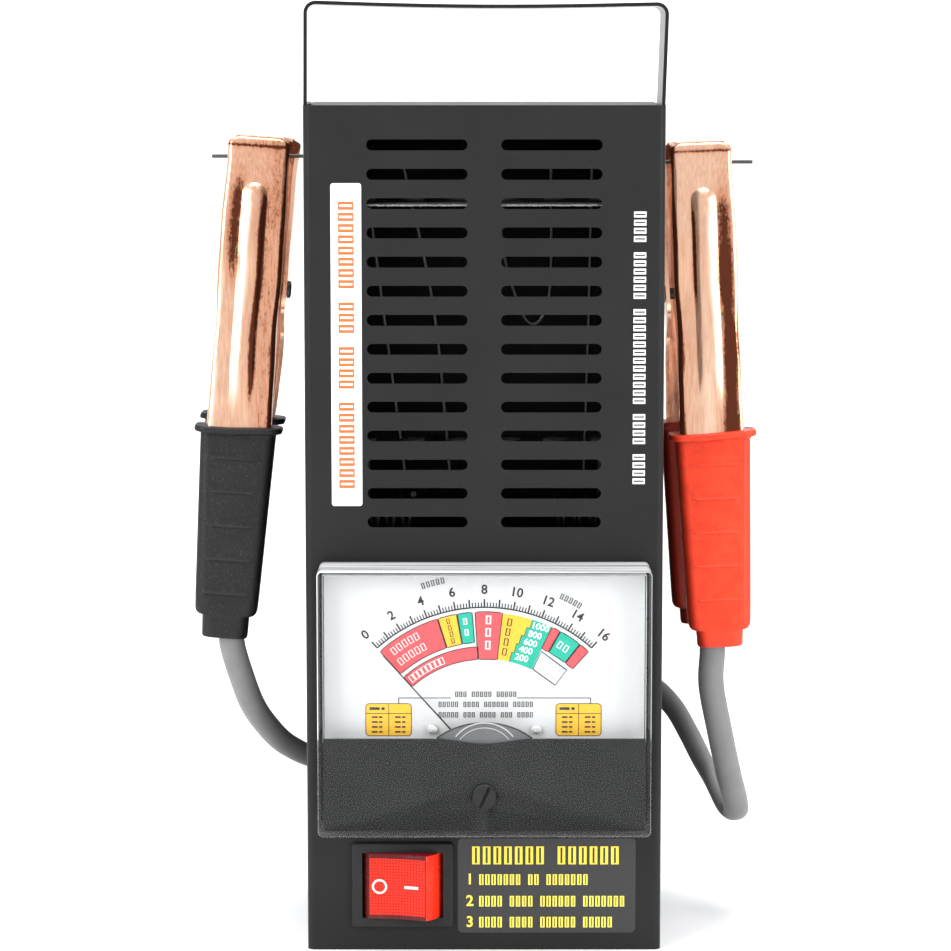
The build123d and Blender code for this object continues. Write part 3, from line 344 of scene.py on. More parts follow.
def ink(name, colour, rough=0.5, uneven=0.07):
    """Printed ink with slight unevenness."""
    paint = Paint(name)
    paint.colour(paint.mix(paint.remap(paint.noise(500, 4), 0, 1), shade(colour, 1 - uneven), shade(colour, 1 + uneven)))
    paint.roughness(paint.remap(paint.noise(900, 2), rough * 0.9, rough * 1.1))
    paint.bump(paint.noise(2500, 2), 0.000008, 0.3)
    return paint.material


def paper(name, colour):
    """Self-adhesive label stock: fibres and a soft matt face."""
    paint = Paint(name)
    fibre = paint.noise(2600, 4, (1, 1, 0.4))
    paint.colour(paint.mix(paint.remap(fibre, 0, 1), shade(colour, 0.93), colour))
    paint.roughness(paint.remap(fibre, 0.5, 0.65))
    paint.bump(fibre, 0.00001, 0.4)
    return paint.material


# ---------------------------------------------------------------- materials
WALL_END_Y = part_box("meter_base")[0].y - 0.0005
MASK_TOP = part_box("meter_mask")[1].z
CHARCOAL = (0.0125, 0.0125, 0.0128)
materials = {
    "case_paint": powder_coat("case_paint", CHARCOAL),
    "handle_paint": strap_coat("handle_paint", CHARCOAL),
    "zinc_steel": metal("zinc_steel", (0.74, 0.74, 0.72), 0.28),
    "dark_steel": metal("dark_steel", (0.10, 0.095, 0.09), 0.38),
    "copper": copper("copper"),
    "brass": metal("brass", (0.82, 0.62, 0.30), 0.28),
    "black_vinyl": vinyl("black_vinyl", (0.0105, 0.0105, 0.011), (0.085, 0.085, 0.088), 0.55),
    "red_vinyl": vinyl("red_vinyl", (0.78, 0.046, 0.014), (1.0, 0.13, 0.05), 0.42),
    "grey_cable": cable_sheath("grey_cable", (0.16, 0.16, 0.16)),
    "black_rubber": plastic("black_rubber", (0.022, 0.022, 0.022), 0.6),
    "clear_plastic": clear_plastic("clear_plastic"),
    "black_plastic": plastic("black_plastic", (0.0155, 0.0155, 0.0158), 0.5, 300, 0.000001, 0.0),
    "grey_plastic": plastic("grey_plastic", (0.42, 0.43, 0.43), 0.35),
    "white_print": ink("white_print", (0.56, 0.56, 0.56), 0.45, 0.006),
    "label": paper("label", (0.86, 0.87, 0.88)),
    "red_clear": lit_red("red_clear", False),
    "magnet": metal("magnet", (0.16, 0.16, 0.165), 0.5),
    "soft_iron": metal("soft_iron", (0.40, 0.40, 0.41), 0.4),
    "winding": metal("winding", (0.70, 0.28, 0.12), 0.35, (1, 14, 1), 1200),
    "aluminium": metal("aluminium", (0.80, 0.81, 0.82), 0.3),
    "nichrome": metal("nichrome", (0.13, 0.125, 0.12), 0.4, (1, 1, 0.1)),
    # painted shade: this steel is made dark, as the load plates lie in shade inside the case
    "galvanised": metal("galvanised", (0.16, 0.16, 0.165), 0.5, (1, 1, 1), 160),
    "ceramic": plastic("ceramic", (0.10, 0.097, 0.09), 0.6),
    "phenolic": plastic("phenolic", (0.20, 0.09, 0.04), 0.45),
}
for row in frame["record"]["subparts"]:
    part = nodes[row["node"]]
    part.data.set_sharp_from_angle(angle=math.radians(30))
    part.data.materials.clear()
    part.data.materials.append(materials[row["material_slot"]])

red_lens = lit_red("red_lens", True)
inks = {
    "red": ink("ink_red", (0.62, 0.070, 0.080)),
    "yellow": ink("ink_yellow", (0.76, 0.42, 0.025)),
    "green": ink("ink_green", (0.004, 0.36, 0.25)),
    "black": ink("ink_black", (0.012, 0.012, 0.014)),
    "white": ink("ink_white", (0.78, 0.78, 0.77)),
    "orange": ink("ink_orange", (0.78, 0.115, 0.018)),
    "pale_yellow": ink("ink_pale_yellow", (0.86, 0.72, 0.075)),
    "title_yellow": ink("ink_title_yellow", (0.92, 0.70, 0.05)),
    "plate": ink("ink_plate", (0.0175, 0.0178, 0.0182), 0.45),
    "table_print": ink("ink_table", (0.03, 0.03, 0.03)),
}
sheared_edge = metal("sheared_edge", (0.96, 0.96, 0.95), 0.25)
hump_grey = plastic("hump_grey", (0.12, 0.12, 0.123), 0.35)


# ---------------------------------------------------------------- geometry helpers
def finish_mesh(name, bm, material, body, sharp=35.0, merge=1e-7):
    """Turns a bmesh in millimetres into a shaded object in metres that rides on a CAD body."""
    bmesh.ops.remove_doubles(bm, verts=bm.verts, dist=merge)
    bmesh.ops.scale(bm, vec=(MM, MM, MM), verts=bm.verts)
    limit = math.radians(sharp)
    for face in bm.faces:
        face.smooth = True
    for edge in bm.edges:
        edge.smooth = len(edge.link_faces) == 2 and edge.calc_face_angle(0.0) < limit
    mesh = bpy.data.meshes.new(name)
    bm.to_mesh(mesh)
    bm.free()
    made = bpy.data.objects.new(name, mesh)
    bpy.context.scene.collection.objects.link(made)
    made.data.materials.append(material)
    if body is not None:
        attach(made, body)
    return made


def add_prism(bm, outline, near, far):
    """A closed outline of (x, z) points, extruded in depth from near to far."""
    front = [bm.verts.new((x, near, z)) for x, z in outline]
    rear = [bm.verts.new((x, far, z)) for x, z in outline]
    bm.faces.new(front)
    bm.faces.new(list(reversed(rear)))
    count = len(outline)
    for i in range(count):
        after = (i + 1) % count
        bm.faces.new((front[i], rear[i], rear[after], front[after]))


def add_grid(bm, rows, close_rows=False, close_columns=False):
    """Quads over rows of points; each row has the same number of points."""
    made = [[bm.verts.new(point) for point in row] for row in rows]
    row_count = len(made) if close_rows else len(made) - 1
    column_count = len(made[0]) if close_columns else len(made[0]) - 1
    for i in range(row_count):
        upper = made[(i + 1) % len(made)]
        for j in range(column_count):
            after = (j + 1) % len(made[0])
            bm.faces.new((made[i][j], made[i][after], upper[after], upper[j]))
    return made


def rectangle(x0, z0, x1, z1):
    return [(x0, z0), (x1, z0), (x1, z1), (x0, z1)]


def rounded_rectangle(x0, z0, x1, z1, radius, steps=5):
    """Outline of a rectangle with rounded corners, as (x, z) points."""
    points = []
    corners = ((x1 - radius, z1 - radius, 0), (x0 + radius, z1 - radius, 90),
               (x0 + radius, z0 + radius, 180), (x1 - radius, z0 + radius, 270))
    for cx, cz, start in corners:
        for step in range(steps + 1):
            angle = math.radians(start + 90 * step / steps)
            points.append((cx + radius * math.cos(angle), cz + radius * math.sin(angle)))
    return points


def add_frame_line(bm, outline, width, near, far):
    """A closed line of constant width along an outline, such as a printed border."""
    count = len(outline)
    inner = []
    for i in range(count):
        before, here, after = (Vector(outline[k % count]) for k in (i - 1, i, i + 1))
        tangent = (after - before).normalized()
        inner.append(here + Vector((-tangent.y, tangent.x)) * width)
    rows = [[(x, near, z) for x, z in outline], [(p.x, near, p.y) for p in inner],
            [(p.x, far, p.y) for p in inner], [(x, far, z) for x, z in outline]]
    add_grid(bm, rows, close_rows=True, close_columns=True)


def add_glyphs(bm, words, centre, glyph, gap, stroke, near, turn=0.0, thickness=0.04):
    """A line of open boxes in place of letters: words lists how many stand together; glyph is (width, height)."""
    width, height = glyph
    count = sum(words) + len(words) - 1
    total = count * width + (count - 1) * gap
    cosine, sine = math.cos(math.radians(turn)), math.sin(math.radians(turn))
    start = -total / 2
    for word in words:
        for letter in range(word):
            x = start + letter * (width + gap)
            outline = [(centre[0] + u * cosine - v * sine, centre[1] + u * sine + v * cosine)
                       for u, v in rectangle(x, -height / 2, x + width, height / 2)]
            add_frame_line(bm, outline, stroke * 1.3, near, near + thickness)
        start += (word + 1) * (width + gap)


def smooth_curve(points, steps):
    """Catmull-Rom curve through 3-D points."""
    padded = [points[0] * 2 - points[1], *points, points[-1] * 2 - points[-2]]
    made = []
    for i in range(1, len(padded) - 2):
        a, b, c, d = padded[i - 1:i + 3]
        for step in range(steps):
            t = step / steps
            made.append(0.5 * ((2 * b) + (c - a) * t + (2 * a - 5 * b + 4 * c - d) * t * t
                               + (3 * b - a - 3 * c + d) * t ** 3))
    made.append(points[-1].copy())
    return made


def interpolate(table, x):
    """Smooth value at x from (x, value) pairs sorted by x: a Catmull-Rom through the pairs."""
    if x <= table[0][0]:
        return table[0][1]
    for i in range(len(table) - 1):
        x0, y0 = table[i]
        x1, y1 = table[i + 1]
        if x <= x1:
            slope0 = (y1 - table[i - 1][1]) / (x1 - table[i - 1][0]) if i > 0 else (y1 - y0) / (x1 - x0)
            after = table[i + 2] if i + 2 < len(table) else table[i + 1]
            slope1 = (after[1] - y0) / (after[0] - x0)
            t = (x - x0) / (x1 - x0)
            span = x1 - x0
            return ((2 * t ** 3 - 3 * t * t + 1) * y0 + (t ** 3 - 2 * t * t + t) * slope0 * span
                    + (3 * t * t - 2 * t ** 3) * y1 + (t ** 3 - t * t) * slope1 * span)
    return table[-1][1]


def add_modifier(made, kind, **values):
    modifier = made.modifiers.new(kind.lower(), kind)
    for key, value in values.items():
        setattr(modifier, key, value)
    return modifier


def soften(node, width=0.12, angle=38.0):
    """Rolls the sharp edges of a CAD node so that they catch the light."""
    part = nodes[node]
    add_modifier(part, "WELD", merge_threshold=1e-6)
    add_modifier(part, "BEVEL", width=width * MM, segments=2, limit_method="ANGLE",
                 angle_limit=math.radians(angle), harden_normals=True)


def add_text(bm, text, x, z, size, y, thickness=0.03, turn=0.0):
    """Numerals as solid print, centred on (x, z), facing the viewer."""
    curve = bpy.data.curves.new("numeral", "FONT")
    curve.body = text
    curve.size = size
    curve.align_x = "CENTER"
    curve.align_y = "CENTER"
    curve.resolution_u = 3
    curve.extrude = thickness / 2
    curve.offset = size * 0.02
    holder = bpy.data.objects.new("numeral", curve)
    bpy.context.scene.collection.objects.link(holder)
    bpy.context.view_layer.update()
    mesh = bpy.data.meshes.new_from_object(holder.evaluated_get(bpy.context.evaluated_depsgraph_get()))
    upright = Matrix.Rotation(math.radians(90), 4, "X")
    spin = Matrix.Rotation(math.radians(turn), 4, "Y")
    mesh.transform(Matrix.Translation((x, y, z)) @ spin @ upright)
    bm.from_mesh(mesh)
    bpy.data.objects.remove(holder)
    bpy.data.curves.remove(curve)
    bpy.data.meshes.remove(mesh)


# ---------------------------------------------------------------- clamps
class Clamp:
    """Maps (across, depth, up) of one clamp to the frame; up runs along the clamp, depth goes away from the viewer."""

    def __init__(self, colour, joint_name, cable_shift):
        joint = joints[joint_name]
        self.colour = colour
        self.pivot = Vector(joint["pos_m"]) / MM
        axis = Vector(joint["axis"]).normalized()
        self.across = -axis if axis.x < 0 else axis
        self.depth = Vector((0, 1, 0))
        self.up = self.across.cross(self.depth)
        self.cable_shift = cable_shift
        self.outward = -1.0 if colour == "black" else 1.0

    def at(self, across, depth, up):
        return self.pivot + self.across * across + self.depth * depth + self.up * up


JAW_OUTER = [(-97.0, 24.5), (-42.0, 19.0), (0.0, 14.5), (18.0, 13.5), (34.0, 10.0), (46.3, 6.0)]
JAW_INNER = [(-97.0, 19.5), (-42.0, 14.0), (-16.0, 9.0), (-6.0, -3.5), (0.0, -4.5), (8.0, -3.5), (18.0, 0.8)]
TIP_UP, TEETH_UP, TOOTH_COUNT, JAW_GAP = 46.3, 18.0, 8, 0.8
COPPER_THICK = 1.2
TOOTH_DEPTHS = {-1: 1.3, 1: 0.0}      # the rear half's edge is plain
BEAD_HALF, BEAD_TOP_UP, BEAD_LOW_UP, BEAD_RISE = 3.8, 33.0, -39.5, 1.05
TIP_CORNER = 2.0
SLEEVE_TOP = -43.7
SLEEVE_ENDS = {"black": (-100.0, -107.0), "red": (-102.7, -107.9)}
HALF_WIDTH = 9.7
GRIP_TAPER = 2.0                       # how much narrower a grip's half is at its end than at its mouth
# how far the rear half sits outwards of the rivet's middle, as (up, shift)
REAR_SHIFT = {
    "black": [(-110.0, 2.2), (-60.0, 2.0), (-46.0, 1.4), (-38.0, 0.2), (-14.0, -1.4), (12.0, -1.5), (26.0, -1.8),
              (50.0, -3.2)],
    "red": [(-110.0, -2.5), (50.0, -2.3)],
}


def half_shift(clamp, sign, up):
    """Sideways play of the rear half; the front half stays centred."""
    return interpolate(REAR_SHIFT[clamp.colour], up) if sign > 0 else 0.0


def jaw_edge(up, tooth_depth):
    """Depth of a jaw wall's free edge: teeth above TEETH_UP, the pivot ears and the handle below."""
    if up <= TEETH_UP:
        return interpolate(JAW_INNER, up)
    pitch = (TIP_UP - TEETH_UP) / TOOTH_COUNT
    phase = ((TIP_UP - up) / pitch) % 1.0
    if phase < 0.2:
        return JAW_GAP + tooth_depth * (0.2 - phase) / 0.4
    if phase <= 0.6:
        return JAW_GAP + tooth_depth * (phase - 0.2) / 0.4
    return JAW_GAP + tooth_depth * (1.4 - phase) / 0.8


def bead_height(across, up):
    """How far the pressed bead stands out of the jaw's back: round at the top, fading out at the bottom."""
    end = BEAD_TOP_UP - BEAD_HALF
    reach = abs(across) if up < end else math.hypot(across, up - end)
    side = reach / BEAD_HALF
    if side >= 1.0 or up < BEAD_LOW_UP:
        return 0.0
    fade = min(1.0, (up - BEAD_LOW_UP) / 16.0)
    return BEAD_RISE * math.cos(side * math.pi / 2) ** 0.8 * fade


def jaw_row(half_width, outer, edge, up, corner=1.5):
    """One cross-section of a jaw: up one wall, round the corner, across the back with its bead, and down again."""
    points = []
    corner = min(corner, 0.45 * (outer - edge), 0.45 * half_width)
    for step in range(5):
        points.append((-half_width, edge + (outer - corner - edge) * step / 5))
    for step in range(7):
        angle = math.radians(90 * step / 6)
        points.append((-half_width + corner * (1 - math.cos(angle)), outer - corner * (1 - math.sin(angle))))
    flat = half_width - corner
    bead = min(BEAD_HALF * 1.12, 0.8 * flat)
    beside = [bead + (flat - bead) * k / 5 for k in range(1, 5)]
    for across in [-x for x in reversed(beside)] + [bead * s / 9 for s in range(-9, 10)] + beside:
        points.append((across, outer + bead_height(across, up)))
    for step in range(6, -1, -1):
        angle = math.radians(90 * step / 6)
        points.append((half_width - corner * (1 - math.cos(angle)), outer - corner * (1 - math.sin(angle))))
    for step in range(4, -1, -1):
        points.append((half_width, edge + (outer - corner - edge) * step / 5))
    return points


def spot(x, centre, wide):
    """Bell curve of 1 at the centre."""
    return math.exp(-((x - centre) / wide) ** 2)


def stretch(up, low, high, soft):
    """1 between two heights, fading to 0 outside them."""
    return 1 / (1 + math.exp((low - up) / soft)) / (1 + math.exp((up - high) / soft))


def streak_value(clamp, sign, across, up):
    """Painted light on a jaw's back, as a value the copper turns into colour: above 0 a cream painted highlight, below
    0 dark, for painted reflections, painted shade and dark mottled patches.
    """
    wander = 0.35 * math.sin(up / 13.0) + 0.2 * math.sin(up / 5.1 + 1.0)
    x = across * clamp.outward + wander
    # the rear half: painted shade, a little darker all over and dark towards its tip
    if sign > 0:
        return -0.16 + 0.2 * math.sin(across * 1.7 + up * 0.11) - 0.9 * stretch(up, 42, 80, 0.8)
    if clamp.colour == "black":
        # painted highlights on the bead's left flank and by the outer edge, a dark painted reflection on the bead's
        # right flank, painted shade on the case-side wall and under the tip's lip, a dark mottled patch high on the
        # back, and a little darker all over and towards the case side
        value = 1.15 * spot(x, 2.0, 0.9) * stretch(up, -34, 28, 2) - 1.6 * spot(x, -2.9, 0.8) * stretch(up, -30, 27, 2)
        value += 0.8 * spot(x, 8.4, 0.6) * stretch(up, -110, 6, 5) - 1.4 * stretch(-x, 8.7, 20, 0.12)
        value -= 0.78 * spot(x, 5.6, 1.9) * stretch(up, 6, 33, 2.5)
        value -= 0.10 + 0.22 * spot(x, -6.5, 2.2)
        value += 0.12 * spot(x, 6.0, 1.8) * stretch(up, -110, -8, 5) - 0.7 * spot(up, 44.2, 0.5)
    else:
        # painted highlights on the bead's right flank and by the outer edge, a thin dark painted reflection on the
        # bead's left flank, painted shade on the case-side wall and under the tip's lip, and a wide dark mottled band
        # right of the bead
        value = 1.15 * spot(x, 2.2 - 0.02 * up, 0.9) * stretch(up, -30, 24, 2)
        value -= 1.2 * spot(x, -3.3, 0.5) * stretch(up, 0, 27, 2) + 0.06
        value += 0.8 * spot(x, 9.5, 0.5) - 1.4 * stretch(-x, 8.6, 20, 0.12)
        value -= 1.25 * spot(x, 6.2, 2.3) * stretch(up, -60, 28, 3) * (0.85 + 0.15 * math.sin(up / 4.0))
        value += 0.25 * spot(x, -1.0, 2.0) * stretch(up, -110, 0, 6) - 0.7 * spot(up, 44.2, 0.5)
    return max(-1.0, min(1.0, value))


def build_jaw(clamp, sign, name, body):
    """One half of a copper clamp as bent sheet: back with a pressed bead, toothed walls, ears and rounded tip."""
    pitch = (TIP_UP - TEETH_UP) / TOOTH_COUNT
    ups = set(range(-95, 18))
    for tooth in range(TOOTH_COUNT):
        top = TIP_UP - tooth * pitch
        ups.update({top, top - 0.2 * pitch, top - 0.4 * pitch, top - 0.6 * pitch, top - 0.8 * pitch})
    ups.update({TEETH_UP, *(BEAD_TOP_UP - 0.4 * k for k in range(11))})
    rows = []
    streaks = []
    for up in sorted(ups):
        half = HALF_WIDTH + 0.22 * math.sin(up / 8.0) + 0.10 * math.sin(up / 3.7 + 1.0)
        if up < SLEEVE_TOP:
            half -= 0.3 + GRIP_TAPER * (SLEEVE_TOP - up) / (SLEEVE_TOP - SLEEVE_ENDS[clamp.colour][0])
        into_corner = up - (TIP_UP - TIP_CORNER)
        if into_corner > 0:
            half -= TIP_CORNER - math.sqrt(max(0.0, TIP_CORNER ** 2 - into_corner ** 2))
        shift = half_shift(clamp, sign, up)
        section = jaw_row(half, interpolate(JAW_OUTER, up), jaw_edge(up, TOOTH_DEPTHS[sign]), up)
        rows.append([clamp.at(across + shift * clamp.outward, sign * depth, up) for across, depth in section])
        streaks += [streak_value(clamp, sign, across, up) for across, depth in section]
    # the back curls over towards the mating jaw at the tip
    tip_half = HALF_WIDTH - TIP_CORNER
    shift = half_shift(clamp, sign, TIP_UP)
    for over, rise, less in ((0.7, 0.55, 0.3), (1.7, 0.85, 0.8), (2.7, 0.8, 1.3)):
        section = jaw_row(tip_half - less, 6.0 - over, JAW_GAP, 100.0)
        rows.append([clamp.at(across + shift * clamp.outward, sign * depth, TIP_UP + rise) for across, depth in section])
        # the curl: its first row painted dark as shade, the rows past it painted cream as highlight
        streaks += [0.6 if rise > 0.6 else -0.6] * len(section)
    bm = bmesh.new()
    add_grid(bm, rows)
    layer = bm.verts.layers.float.new("streak")
    bm.verts.ensure_lookup_table()
    for vert, value in zip(bm.verts, streaks):
        vert[layer] = value
    bmesh.ops.recalc_face_normals(bm, faces=bm.faces)
    made = finish_mesh(name, bm, materials["copper"], body, 38)
    outward = clamp.depth * sign
    middle = [poly for poly in made.data.polygons if abs((poly.center / MM - clamp.pivot).dot(clamp.across)) < 1]
    facing = sum(poly.normal.dot(outward) for poly in middle)
    add_modifier(made, "SOLIDIFY", thickness=COPPER_THICK * MM, offset=-1.0 if facing > 0 else 1.0)
    add_modifier(made, "BEVEL", width=0.25 * MM, segments=2, limit_method="ANGLE", angle_limit=math.radians(50))
    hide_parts(name.replace("_visual", ""))
    return made


def rounded_loop(half_width, half_depth, radius, exponent_steps=7, flat_steps=18):
    """Closed loop of a rounded rectangle as (across, depth) points; the outer face comes first."""
    radius = min(radius, half_width * 0.98, half_depth * 0.98)
    points = []
    for step in range(flat_steps):
        points.append((-(half_width - radius) + 2 * (half_width - radius) * step / flat_steps, half_depth))
    corners = ((half_width - radius, half_depth - radius, 90), (half_width - radius, -half_depth + radius, 0),
               (-half_width + radius, -half_depth + radius, -90), (-half_width + radius, half_depth - radius, -180))
    for index, (ca, cd, start) in enumerate(corners):
        for step in range(exponent_steps + 1):
            angle = math.radians(start - 90 * step / exponent_steps)
            points.append((ca + radius * math.cos(angle), cd + radius * math.sin(angle)))
        if index == 1:
            for step in range(1, flat_steps):
                points.append((half_width - radius - 2 * (half_width - radius) * step / flat_steps, -half_depth))
    return points


LINE_PITCH, LINE_COUNT, LINE_FIRST, LINE_HALF, LINE_RISE = 10.4, 5, 8.0, 6.8, 0.45
LIP_OUT, LIP_HIGH = 1.9, 1.9
GRIP_HALF_DEPTH = 4.8


def build_sleeve(clamp, sign, name, body):
    """Vinyl grip: flat lip, tapered body with raised lines, rounded end and a neck for the cable."""
    end_up, neck_up = SLEEVE_ENDS[clamp.colour]
    top_half = HALF_WIDTH + 1.9
    end_half = top_half - GRIP_TAPER
    # stations: (up, half across, half depth, corner radius)
    mouth = [(-48.0, HALF_WIDTH + 0.15, 2.7, 1.0), (SLEEVE_TOP + LIP_HIGH, HALF_WIDTH + 0.15, 2.7, 1.0)]
    lip_half, lip_depth = top_half + LIP_OUT, GRIP_HALF_DEPTH + LIP_OUT
    lip = [(SLEEVE_TOP + LIP_HIGH, lip_half - 0.5, lip_depth - 0.5, 3.6),
           (SLEEVE_TOP + LIP_HIGH - 0.15, lip_half - 0.15, lip_depth - 0.15, 3.9),
           (SLEEVE_TOP + LIP_HIGH - 0.5, lip_half, lip_depth, 4.0), (SLEEVE_TOP + 0.5, lip_half, lip_depth, 4.0),
           (SLEEVE_TOP + 0.1, lip_half - 0.2, lip_depth - 0.2, 3.9), (SLEEVE_TOP, lip_half - 0.6, lip_depth - 0.6, 3.6),
           (SLEEVE_TOP - 0.1, top_half + 0.5, GRIP_HALF_DEPTH + 0.5, 3.0), (SLEEVE_TOP - 0.6, top_half, GRIP_HALF_DEPTH, 2.6)]
    line_ups = []
    for line in range(LINE_COUNT):
        centre = SLEEVE_TOP - LINE_FIRST - line * LINE_PITCH
        line_ups += [centre + step for step in (0.5, 0.3, 0.12, -0.12, -0.3, -0.5)]
    plain_ups = [SLEEVE_TOP - 1.5 - 1.3 * k for k in range(int((SLEEVE_TOP - end_up - 6) / 1.3))]
    body_ups = sorted({up for up in plain_ups if all(abs(up - line) > 0.35 for line in line_ups)} | set(line_ups),
                      reverse=True)
    grip = []
    for up in body_ups:
        fall = (SLEEVE_TOP - up) / (SLEEVE_TOP - end_up)
        grip.append((up, top_half + (end_half - top_half) * fall, GRIP_HALF_DEPTH, 2.6 + 0.6 * fall))
    shoulder = []
    for step in range(8):
        angle = math.radians(90 * step / 7)
        half = end_half - (1.6 if step < 7 else end_half - 7.3) * (1 - math.cos(angle))
        shoulder.append((end_up + 2.2 * (1 - math.sin(angle)), half, GRIP_HALF_DEPTH - 0.1 * step / 7, 3.2))
    neck = [(end_up - 0.2, 7.25, 4.7, 3.2), (neck_up + 2.5, 7.1, 4.62, 3.6), (neck_up + 0.5, 7.05, 4.55, 3.7),
            (neck_up, 6.8, 4.35, 3.6), (neck_up - 0.1, 6.2, 3.95, 3.5), (neck_up + 0.4, 5.6, 3.6, 3.3),
            (neck_up + 3.0, 5.4, 3.5, 3.2)]
    rows = []
    inside_shade = []
    for up, half, half_depth, radius in mouth + lip + grip + shoulder + neck:
        fall = (SLEEVE_TOP - max(min(up, SLEEVE_TOP), end_up)) / (SLEEVE_TOP - end_up)
        centre = 16.6 + (21.8 - 16.6) * fall
        shift = half_shift(clamp, sign, up) * clamp.outward
        on_lip = up > SLEEVE_TOP - 0.3
        row = []
        for across, depth in rounded_loop(half, half_depth, radius):
            lift = 0.0
            off = (SLEEVE_TOP - LINE_FIRST - up) % LINE_PITCH
            off = min(off, LINE_PITCH - off)
            if depth > half_depth * 0.9 and abs(across) < LINE_HALF and off < 0.5 and end_up + 4 < up < -50:
                lift = LINE_RISE * math.cos(off / 0.5 * math.pi / 2)
            sag = 0.35 * math.sin(across / 6.0 + (0 if sign < 0 else 2)) - 0.3 * math.cos(across / 7.5) if on_lip else 0.0
            row.append(clamp.at(across + shift, sign * (centre + depth + lift), up + sag))
            # painted shade: the grip is darker on the side by the case and towards the mating half
            case_side_shade = 0.5 * spot(across * clamp.outward, -half, 2.2)
            inside_shade.append(max(case_side_shade, 0.5 - depth / (2 * half_depth)))
        rows.append(row)
    bm = bmesh.new()
    grid = add_grid(bm, rows, close_columns=True)
    bm.faces.new(grid[0])
    bm.faces.new(grid[-1])
    layer = bm.verts.layers.float.new("inside")
    bm.verts.ensure_lookup_table()
    for vert, value in zip(bm.verts, inside_shade):
        vert[layer] = value
    bmesh.ops.recalc_face_normals(bm, faces=bm.faces)
    made = finish_mesh(name, bm, materials[f"{clamp.colour}_vinyl"], body, 50)
    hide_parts(name.replace("_visual", ""))
    return made


RIVET_R, RIVET_HEAD_R = 1.8, 2.7


def build_rivet(clamp):
    """Pivot rivet: flush on the outer side, its head on the rear half's ear on the case side."""
    ear = HALF_WIDTH - half_shift(clamp, 1, 0.0) + 0.15
    stations = [(-HALF_WIDTH - 0.05, 0.3), (-HALF_WIDTH, RIVET_R), (ear, RIVET_R), (ear, RIVET_HEAD_R),
                (ear + 0.8, RIVET_HEAD_R), (ear + 1.15, RIVET_HEAD_R * 0.8), (ear + 1.25, 0.3)]
    rows = []
    for along, radius in stations:
        rows.append([clamp.at(-along * clamp.outward, radius * math.cos(a * math.tau / 32), radius * math.sin(a * math.tau / 32))
                     for a in range(32)])
    bm = bmesh.new()
    grid = add_grid(bm, rows, close_columns=True)
    bm.faces.new(grid[0])
    bm.faces.new(grid[-1])
    bmesh.ops.recalc_face_normals(bm, faces=bm.faces)
    name = f"{clamp.colour}_pivot_rivet"
    made = finish_mesh(f"{name}_visual", bm, materials["dark_steel"], f"{clamp.colour}_clamp", 35)
    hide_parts(name)


def build_clamps():
    for clamp in (Clamp("black", "black_clamp_open", 2.4), Clamp("red", "red_clamp_open", -2.4)):
        front_body, rear_body = f"{clamp.colour}_clamp", f"{clamp.colour}_clamp_rear"
        for part, sign, body in (("front", -1, front_body), ("rear", 1, rear_body)):
            build_jaw(clamp, sign, f"{clamp.colour}_{part}_jaw_visual", body)
            build_sleeve(clamp, sign, f"{clamp.colour}_{part}_sleeve_visual", body)
        build_rivet(clamp)


build_clamps()


# ---------------------------------------------------------------- leads
def add_oval_tube(bm, path, wide, thick, turn=None, sides=28, caps=True):
    """A tube of oval section along a smooth path; turn gives the section's angle at each fraction of the path."""
    tangents = []
    for i in range(len(path)):
        before, after = path[max(0, i - 1)], path[min(len(path) - 1, i + 1)]
        tangents.append((after - before).normalized())
    side = Vector((1, 0, 0))
    rows = []
    for i, (point, tangent) in enumerate(zip(path, tangents)):
        side = (side - tangent * side.dot(tangent)).normalized()
        other = tangent.cross(side)
        fraction = i / (len(path) - 1)
        angle = turn(fraction) if turn else 0.0
        major = side * math.cos(angle) + other * math.sin(angle)
        minor = tangent.cross(major)
        row = []
        for k in range(sides):
            phase = 2 * math.pi * k / sides
            row.append(point + major * (wide / 2 * math.cos(phase)) + minor * (thick / 2 * math.sin(phase)))
        rows.append(row)
    grid = add_grid(bm, rows, close_columns=True)
    if caps:
        bm.faces.new(grid[0])
        bm.faces.new(grid[-1])


CABLE_WIDE, CABLE_THICK = 8.0, 5.8


def build_lead(clamp, strand, wall_x, entry, twist):
    """A lead outside the case bends between the case and its clamp; the run inside the case is a second piece."""
    sign = 1 if wall_x > 0 else -1
    centre_depth = -21.8
    neck_up = SLEEVE_ENDS[clamp.colour][1]
    neck = clamp.at(clamp.cable_shift, centre_depth, neck_up + 4.5)
    below = clamp.at(clamp.cable_shift, centre_depth, neck_up - 2.0)
    outside = Vector((wall_x + sign * 1.5, *entry))
    inside = Vector((wall_x - sign * 3.0, *entry))
    bm = bmesh.new()
    path = smooth_curve([neck, below, *(Vector(point) for point in strand), outside, inside], 14)
    add_oval_tube(bm, path, CABLE_WIDE, CABLE_THICK, twist)
    bmesh.ops.recalc_face_normals(bm, faces=bm.faces)
    outer = finish_mesh(f"{clamp.colour}_lead_outer", bm, materials["grey_cable"], None, 60)
    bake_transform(outer)
    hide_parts(f"{clamp.colour}_lead_clamp_end")
    low, high = box_mm("cable_lugs")
    lug_x = 26.0 * sign
    lug = Vector((lug_x, (low.y + high.y) / 2, low.z + 2.0))
    mid = Vector((lug_x + sign * 8.0, entry[0] * 0.6, (entry[1] + lug.z) / 2))
    bm = bmesh.new()
    path = smooth_curve([inside + Vector((sign * 2.0, 0, 0)), inside + Vector((-sign * 4.0, 0, 0)), mid,
                         lug + Vector((0, 0, -8)), lug], 14)
    add_oval_tube(bm, path, CABLE_THICK, CABLE_THICK * 0.98)
    bmesh.ops.recalc_face_normals(bm, faces=bm.faces)
    inner = finish_mesh(f"{clamp.colour}_lead_inner", bm, materials["grey_cable"], "case", 60)
    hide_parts(f"{clamp.colour}_lead_case_end")


